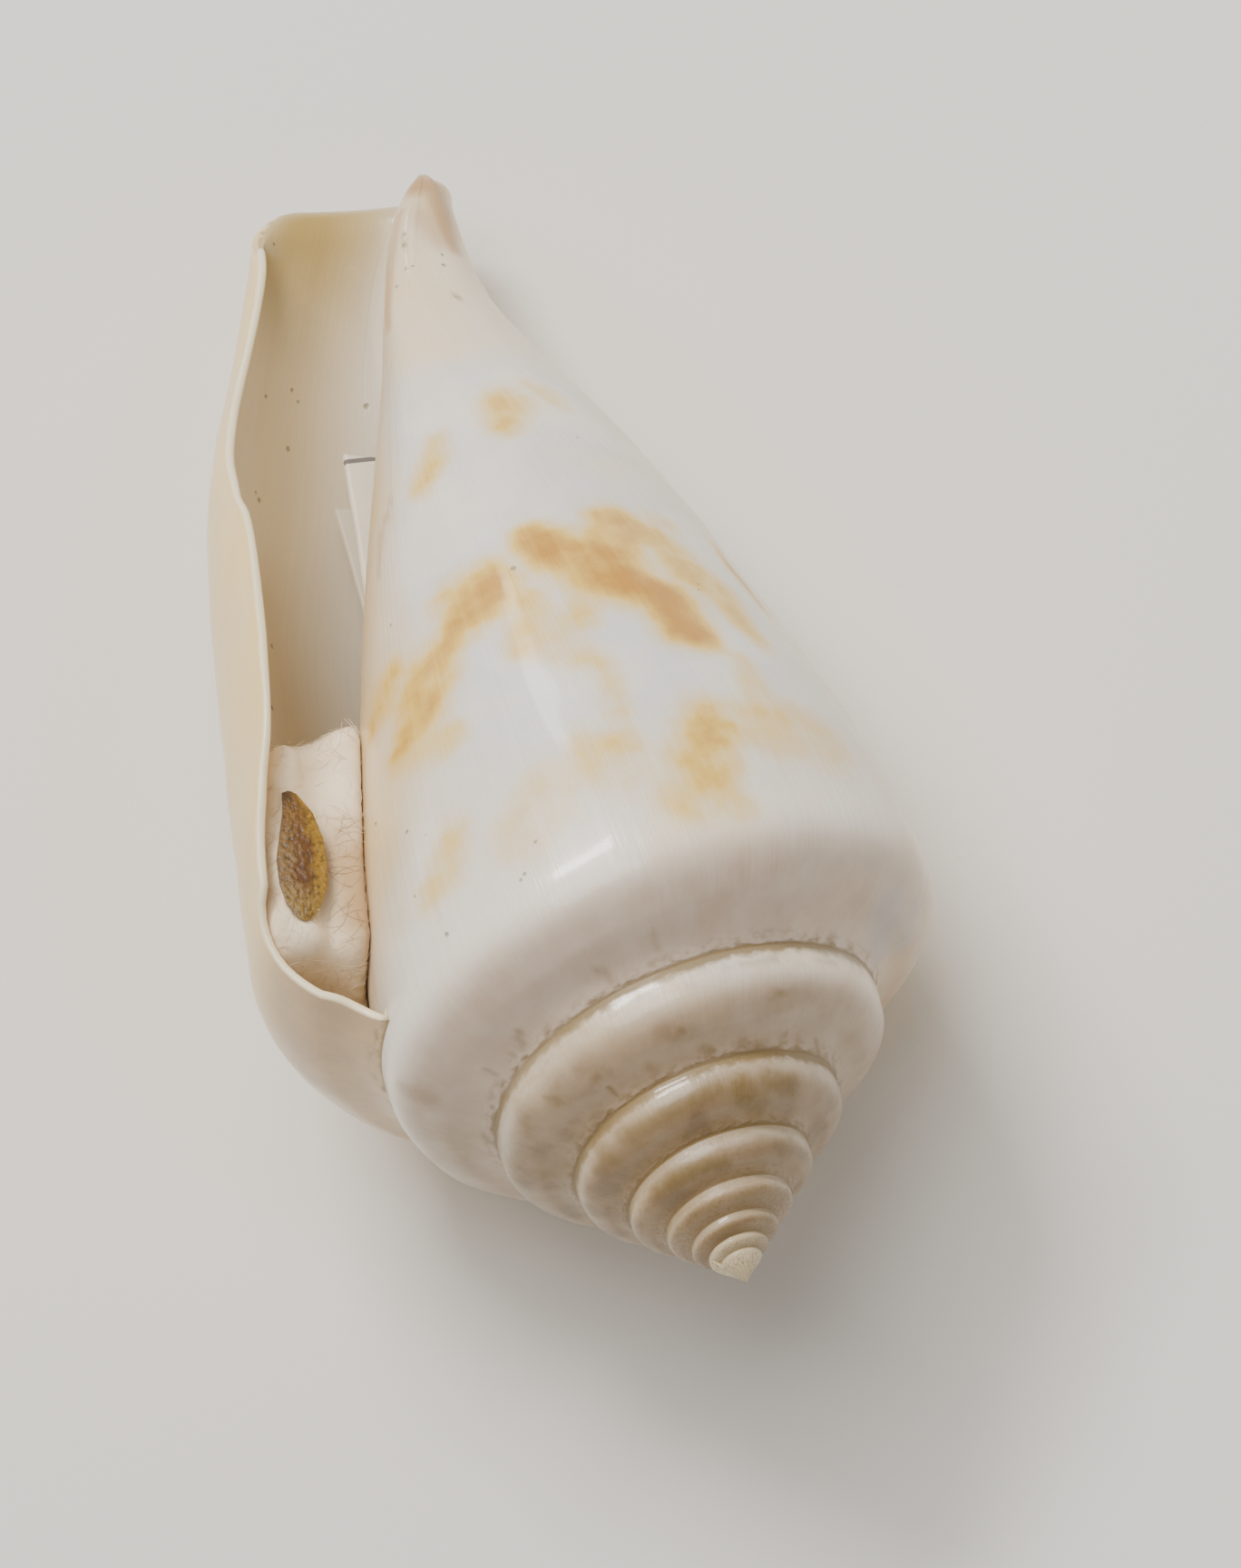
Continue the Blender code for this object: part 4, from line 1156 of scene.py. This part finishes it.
def makeFibreTree(material):
    # short bent strands lie over the wad's surface and stand up from it a little
    tree = bpy.data.node_groups.new("fluff", "GeometryNodeTree")
    for way in ("INPUT", "OUTPUT"):
        tree.interface.new_socket("Geometry", in_out=way, socket_type="NodeSocketGeometry")
    for name in ("density", "shortest", "longest"):
        tree.interface.new_socket(name, in_out="INPUT", socket_type="NodeSocketFloat")
    entry = addNode(tree, "NodeGroupInput")
    spread = addNode(
        tree, "GeometryNodeDistributePointsOnFaces", {},
        {"Mesh": entry.outputs["Geometry"], "Density": entry.outputs["density"], "Seed": cottonWad["seed"]},
    )
    start, middle, end = cottonWad["fibreBend"]
    arc = addNode(
        tree, "GeometryNodeCurveQuadraticBezier", {},
        {"Resolution": 5, "Start": start, "Middle": middle, "End": end},
    )
    ring = addNode(
        tree, "GeometryNodeCurvePrimitiveCircle", {"mode": "RADIUS"},
        {"Resolution": 3, "Radius": cottonWad["fibreRadius"]},
    )
    tube = addNode(
        tree, "GeometryNodeCurveToMesh", {},
        {"Curve": arc.outputs[0], "Profile Curve": ring.outputs[0], "Fill Caps": True},
    )
    least, most = cottonWad["fibreLean"]
    turn = addNode(
        tree, "FunctionNodeRandomValue", {"data_type": "FLOAT_VECTOR"}, {0: least, 1: most, "Seed": 1}
    )
    length = addNode(
        tree, "FunctionNodeRandomValue", {"data_type": "FLOAT"},
        {2: entry.outputs["shortest"], 3: entry.outputs["longest"], "Seed": 2},
    )
    strands = addNode(
        tree, "GeometryNodeInstanceOnPoints", {},
        {"Points": spread.outputs["Points"], "Instance": tube.outputs[0],
         "Rotation": spread.outputs["Rotation"], "Scale": length.outputs[1]},
    )
    spun = addNode(
        tree, "GeometryNodeRotateInstances", {},
        {"Instances": strands.outputs[0], "Rotation": turn.outputs[0], "Local Space": True},
    )
    real = addNode(tree, "GeometryNodeRealizeInstances", {}, {0: spun.outputs[0]})
    smooth = addNode(tree, "GeometryNodeSetShadeSmooth", {}, {"Geometry": real.outputs[0]})
    dressed = addNode(
        tree, "GeometryNodeSetMaterial", {}, {"Geometry": smooth.outputs[0], "Material": material}
    )
    addNode(tree, "NodeGroupOutput", {}, {"Geometry": dressed.outputs[0]})
    return tree


# Cotton wool: loose matt fibres, a little yellowed with age, which scatter light softly
def dressCotton(material):
    tree = material.node_tree
    shader = tree.nodes["Principled BSDF"]
    spot = addNode(tree, "ShaderNodeTexCoord").outputs["Object"]
    apart = addNode(tree, "ShaderNodeSeparateXYZ", {}, {0: spot})
    known = {"x": apart.outputs[0], "y": apart.outputs[1]}
    lowest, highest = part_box("cotton_plug")
    wide, long = highest[0] - lowest[0], highest[1] - lowest[1]
    for name, (size, detail) in cottonWad["patterns"].items():
        texture = addNode(
            tree, "ShaderNodeTexNoise", {},
            {"Vector": spot, "Scale": 1 / (size * mm), "Detail": detail, "Distortion": 0.6},
        )
        known[name] = texture.outputs[0]
    addFormula(tree, known, [
        ("dull", "EASE", "cloud", 0.4, 0.65),
        ("dull", "MULTIPLY_ADD", "tuft", 0.4, "dull"),
        ("dull", "MULTIPLY", "dull", 0.25),
        # painted shade, darker towards the columella below the top and towards the narrow end
        ("side", "EASE", "x", lowest[0] + 0.45 * wide, lowest[0] + 0.7 * wide),
        ("belowTop", "EASE", "y", lowest[1] + 0.8 * long, lowest[1] + 0.5 * long),
        ("side", "MULTIPLY", "side", "belowTop"),
        ("end", "EASE", "y", highest[1] - 0.4 * long, lowest[1]),
        ("dull", "MULTIPLY_ADD", "side", 0.62, "dull"),
        ("dull", "MULTIPLY_ADD CLAMP", "end", 0.22, "dull"),
        ("height", "MULTIPLY_ADD", "fibre", 0.4, "tuft"),
    ])
    colour = paintCoats(tree, known, hexColour(cottonWad["pale"]), [("dull", cottonWad["dull"])])
    bump = addNode(
        tree, "ShaderNodeBump", {},
        {"Height": known["height"], "Distance": cottonWad["tuftHeight"] * mm, "Strength": 1.0},
    )
    feedNode(tree, shader, {"Base Color": colour, "Normal": bump.outputs[0], **cottonWad["shader"]})


cotton = bpy.data.materials.new("cottonWool")
cotton.use_nodes = True
dressCotton(cotton)
wadMesh = makeWad(cotton, shellSurface)
wad = addPiece("cottonPlug", wadMesh, "cotton_plug")
wadArea = sum(face.area for face in wadMesh.polygons)
fluffMesh = grown("cottonFibres", makeFibreTree(cotton), {
    "density": cottonWad["fibres"] / wadArea,
    "shortest": cottonWad["fibreLength"][0] * mm,
    "longest": cottonWad["fibreLength"][1] * mm,
}, wadMesh)
addPiece("cottonFibres", fluffMesh, "cotton_plug")
print("cotton packed:", len(wadMesh.polygons), "faces and", len(fluffMesh.polygons), "on its fibres")


# The operculum is a thin horny plate glued to the cotton: narrow at its nucleus, ridged across
operculumShape = {
    "ends": ((10.84, -6.97, -25.9), (12.03, -7.4, -19.43)),
    "across": (0.88, -0.47, 0),
    "at": (0, 0.02, 0.16, 0.35, 0.54, 0.73, 0.89, 0.97, 1),
    "left": (0.05, 0.34, 0.4, 0.68, 0.95, 0.95, 0.72, 0.38, 0.02),
    "right": (0.05, 0.33, 0.95, 1.26, 1.3, 1.18, 0.74, 0.38, 0.02),
    "thickness": 0.22,
    "dome": 0.12,
    "ridges": 15,
    "ridgeHeight": 0.02,
    "flakes": 0.07,
    "steps": (150, 54),
    "amber": "#6f4c10",
    "golden": "#94701c",
    "chestnut": "#5f3a12",
    "flaky": "#6d4f1c",
    "olive": "#86692a",
    "fleck": "#a98a70",
    "dark": "#38250f",
    "flakeHeight": 0.08,
    "patterns": {"patch": (0.9, 3), "flake": (0.22, 3), "grain": (0.08, 2)},  # size in mm, detail
    "shader": {
        "IOR": 1.54,
        "Subsurface Weight": 0.1,
        "Subsurface Radius": (1.0, 0.5, 0.2),
        "Subsurface Scale": 0.3 * mm,
    },
}


def makeOperculum(material):
    shape = operculumShape
    narrow, broad = Vector(shape["ends"][0]), Vector(shape["ends"][1])
    axis = broad - narrow
    across = Vector(shape["across"])
    across = (across - across.project(axis)).normalized()
    facing = axis.normalized().cross(across)
    if facing.y > 0:
        facing = -facing
    made = bmesh.new()
    alongLayer = made.verts.layers.float.new("along")
    acrossLayer = made.verts.layers.float.new("across")
    along, wide = shape["steps"]
    sides = []
    for face in (1, -1):
        rows = []
        for i in range(along + 1):
            a = (1 - math.cos(math.pi * i / along)) / 2
            left = np.interp(a, shape["at"], shape["left"])
            right = np.interp(a, shape["at"], shape["right"])
            row = []
            for j in range(wide + 1):
                b = -math.cos(math.pi * j / wide)
                width = (right + left) / 2 * b + (right - left) / 2
                lift = math.sqrt(max(1 - b * b, 0)) * math.sqrt(max(math.sin(math.pi * a), 0))
                height = face * shape["thickness"] / 2 * lift
                if face == 1:
                    warp = noise.noise(Vector((a * 7, b * 2.5, 4.1)))
                    bow = a + 0.08 * b * b - 0.04 * b + 0.05 * warp
                    ridge = math.sin(tau * shape["ridges"] * bow) * lift
                    flake = noise.fractal(Vector((a * 20, b * 6.5, 0.3)), 0.9, 2.1, 3) * lift
                    height += shape["dome"] * lift * (1 - b * b)
                    height += shape["ridgeHeight"] * ridge + shape["flakes"] * flake
                spot = narrow + axis * a - across * width + facing * height
                vert = made.verts.new(spot)
                vert[alongLayer], vert[acrossLayer] = a, b
                row.append(vert)
            rows.append(row)
        sides.append(rows)
        for i in range(along):
            for j in range(wide):
                made.faces.new((rows[i][j], rows[i + 1][j], rows[i + 1][j + 1], rows[i][j + 1]))
    bmesh.ops.remove_doubles(made, verts=made.verts, dist=0.00001)
    bmesh.ops.recalc_face_normals(made, faces=made.faces)
    mesh = bpy.data.meshes.new("operculumPlate")
    made.to_mesh(mesh)
    made.free()
    mesh.transform(lying())
    mesh.materials.append(material)
    mesh.shade_smooth()
    return mesh


# Conchiolin: dried horny protein laid down in flakes, translucent amber at its thin edges and
# brown where it is thick, with a dull satin sheen
def dressHorn(material):
    shape = operculumShape
    tree = material.node_tree
    shader = tree.nodes["Principled BSDF"]
    spot = addNode(tree, "ShaderNodeTexCoord").outputs["Object"]
    known = {}
    for name in ("along", "across"):
        known[name] = addNode(tree, "ShaderNodeAttribute", {"attribute_name": name}).outputs["Fac"]
    for name, (size, detail) in shape["patterns"].items():
        texture = addNode(
            tree, "ShaderNodeTexNoise", {}, {"Vector": spot, "Scale": 1 / (size * mm), "Detail": detail}
        )
        known[name] = texture.outputs[0]
    addFormula(tree, known, [
        ("shift", "SUBTRACT", "patch", 0.5),
        ("side", "MULTIPLY_ADD", "shift", 1.2, "across"),
        ("golden", "EASE", "side", 0.25, 0.7),
        ("flaky", "EASE", "side", 0.0, -0.5),
        ("middle", "EASE", "along", 0.18, 0.36),
        ("flaky", "MULTIPLY", "flaky", "middle"),
        ("chestnut", "EASE", "side", 0.45, 0.1),
        ("chestnut", "MULTIPLY", "chestnut", "middle"),
        ("chestnut", "MULTIPLY", "chestnut", 0.9),
        ("low", "EASE", "along", 0.68, 0.88),
        ("low", "MULTIPLY", "low", 0.8),
        ("fleck", "EASE", "flake", 0.58, 0.7),
        ("fleck", "MULTIPLY", "fleck", "middle"),
        ("fleck", "MULTIPLY", "fleck", 0.25),
        ("nucleus", "EASE", "along", 0.16, 0.04),
        ("left", "EASE", "across", 0.35, -0.35),
        ("dark", "MULTIPLY", "nucleus", "left"),
        ("rim", "ABSOLUTE", "across"),
        ("rim", "EASE", "rim", 0.93, 1.0),
        ("rim", "MULTIPLY", "rim", "left"),
        ("dark", "MAXIMUM", "dark", "rim"),
        ("hollow", "EASE", "flake", 0.47, 0.38),
        ("hollow", "MULTIPLY", "hollow", 0.75),
        ("dark", "MAXIMUM", "dark", "hollow"),
        ("dark", "MULTIPLY", "dark", 0.7),
        ("height", "MULTIPLY_ADD", "grain", 0.3, "flake"),
        ("gloss", "MULTIPLY_ADD", "flake", 0.4, 0.3),
    ])
    colour = paintCoats(tree, known, hexColour(shape["amber"]), [
        ("golden", shape["golden"]), ("chestnut", shape["chestnut"]), ("flaky", shape["flaky"]),
        ("low", shape["olive"]), ("fleck", shape["fleck"]), ("dark", shape["dark"]),
    ])
    bump = addNode(
        tree, "ShaderNodeBump", {},
        {"Height": known["height"], "Distance": shape["flakeHeight"] * mm, "Strength": 1.0},
    )
    feedNode(tree, shader, {
        "Base Color": colour, "Roughness": known["gloss"], "Normal": bump.outputs[0], **shape["shader"],
    })


horn = bpy.data.materials.new("conchiolin")
horn.use_nodes = True
dressHorn(horn)
addPiece("operculumPlate", makeOperculum(horn), "operculum")
print("operculum laid on the cotton")


# Two slips of paper lean behind the columella's edge
slips = {
    "paper_label": {
        "name": "whiteSlip", "slot": "white_paper", "curl": 0.10, "seed": 2, "colour": "#efe7d8",
    },
    "backing_slip": {
        "name": "greySlip", "slot": "grey_paper", "curl": 0.06, "seed": 5, "colour": "#d6cbb6",
    },
}
ruledLine = {"down": (0.27, 0.5), "colour": "#4b474a", "on": "paper_label"}  # mm below the top edge
ragPaper = {
    "cloudy": "#cfc2aa",
    "felt": 0.01,  # height of the felted fibres, in mm
    "patterns": {"cloud": (1.2, 3), "felt": (0.15, 3)},  # size in mm, detail
    "shader": {"Roughness": 0.85, "Specular IOR Level": 0.3},
}


def makeSlip(node, facts, material):
    mesh = mergedCopy(node, facts["name"])
    made = bmesh.new()
    made.from_mesh(mesh)
    bmesh.ops.dissolve_limit(made, angle_limit=0.01, verts=made.verts, edges=made.edges)
    bmesh.ops.subdivide_edges(made, edges=made.edges, cuts=23, use_grid_fill=True)
    for vert in made.verts:
        sway = noise.noise(vert.co / (4 * mm) + Vector((facts["seed"], 0, 0)))
        fray = noise.noise(vert.co / (0.5 * mm) + Vector((0, facts["seed"], 0)))
        vert.co += Vector((sway, 0.4 * fray, 0.5 * sway)) * facts["curl"] * mm
    made.to_mesh(mesh)
    made.free()
    mesh.materials.append(material)
    mesh.shade_smooth()
    mesh.set_sharp_from_angle(angle=math.radians(50))
    return mesh


# Rag paper: felted fibres, uncoated, so it is matt with a faint cloudiness
def dressPaper(material, facts, line):
    tree = material.node_tree
    shader = tree.nodes["Principled BSDF"]
    spot = addNode(tree, "ShaderNodeTexCoord").outputs["Object"]
    apart = addNode(tree, "ShaderNodeSeparateXYZ", {}, {0: spot})
    known = {"up": apart.outputs[1]}
    for name, (size, detail) in ragPaper["patterns"].items():
        texture = addNode(
            tree, "ShaderNodeTexNoise", {}, {"Vector": spot, "Scale": 1 / (size * mm), "Detail": detail}
        )
        known[name] = texture.outputs[0]
    start, end = line
    soft = 0.02 * mm
    addFormula(tree, known, [
        ("shade", "MULTIPLY_ADD", "cloud", 0.5, -0.1),
        ("below", "EASE", "up", start, start - soft),
        ("above", "EASE", "up", end - soft, end),
        ("line", "MULTIPLY", "below", "above"),
        ("line", "MULTIPLY", "line", 0.85),
    ])
    colour = paintCoats(tree, known, hexColour(facts["colour"]), [
        ("shade", ragPaper["cloudy"]), ("line", ruledLine["colour"]),
    ])
    bump = addNode(
        tree, "ShaderNodeBump", {},
        {"Height": known["felt"], "Distance": ragPaper["felt"] * mm, "Strength": 1.0},
    )
    feedNode(tree, shader, {"Base Color": colour, "Normal": bump.outputs[0], **ragPaper["shader"]})


for node, facts in slips.items():
    paper = bpy.data.materials.new(facts["name"])
    paper.use_nodes = True
    top = max(corner.co.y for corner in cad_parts[node].data.vertices)
    near, far = ruledLine["down"] if node == ruledLine["on"] else (-1, -1)
    dressPaper(paper, facts, (top - near * mm, top - far * mm))
    addPiece(facts["name"], makeSlip(node, facts, paper), node)
print("slips laid in")


# A pale tabletop under a soft, slightly warm sky
studio = {
    "floor": "#e6e3dd",
    "floorRoughness": 0.9,
    "floorReach": 3,
    "sky": (1, 0.985, 0.96, 1),
    "skyStrength": 0.46,
    "lamp": (1.0, 0.975, 0.94),
}
floor = bpy.data.objects.new("floor", bpy.data.meshes.new("floor"))
square = bmesh.new()
bmesh.ops.create_grid(square, size=studio["floorReach"])
square.to_mesh(floor.data)
square.free()
bpy.context.scene.collection.objects.link(floor)
pale = bpy.data.materials.new("paleFloor")
pale.use_nodes = True
feedNode(pale.node_tree, pale.node_tree.nodes["Principled BSDF"], {
    "Base Color": hexColour(studio["floor"]), "Roughness": studio["floorRoughness"],
})
floor.data.materials.append(pale)

world = bpy.data.worlds.new("studio")
bpy.context.scene.world = world
world.use_nodes = True
feedNode(world.node_tree, world.node_tree.nodes["Background"], {
    "Color": studio["sky"], "Strength": studio["skyStrength"],
})

# Each light: the direction it comes from, how far off, its size and its power
lights = {
    "softbox": ((-0.12, 0.56, 0.82), 0.6, (0.26, 0.07), 3.0),
    "strip": ((-0.03, 0.92, 0.4), 0.6, (0.05, 0.12), 0.3),
    "overhead": ((-0.07, 0.14, 1.0), 0.7, (0.4, 0.4), 2.75),
}
for name, (direction, distance, size, power) in lights.items():
    light = bpy.data.lights.new(name, "AREA")
    light.shape = "RECTANGLE"
    light.size, light.size_y = size
    light.energy = power
    light.color = studio["lamp"]
    lamp = bpy.data.objects.new(name, light)
    bpy.context.scene.collection.objects.link(lamp)
    lamp.location = Vector(direction).normalized() * distance
    lamp.rotation_euler = Vector(direction).to_track_quat("Z", "Y").to_euler()
print("lit")
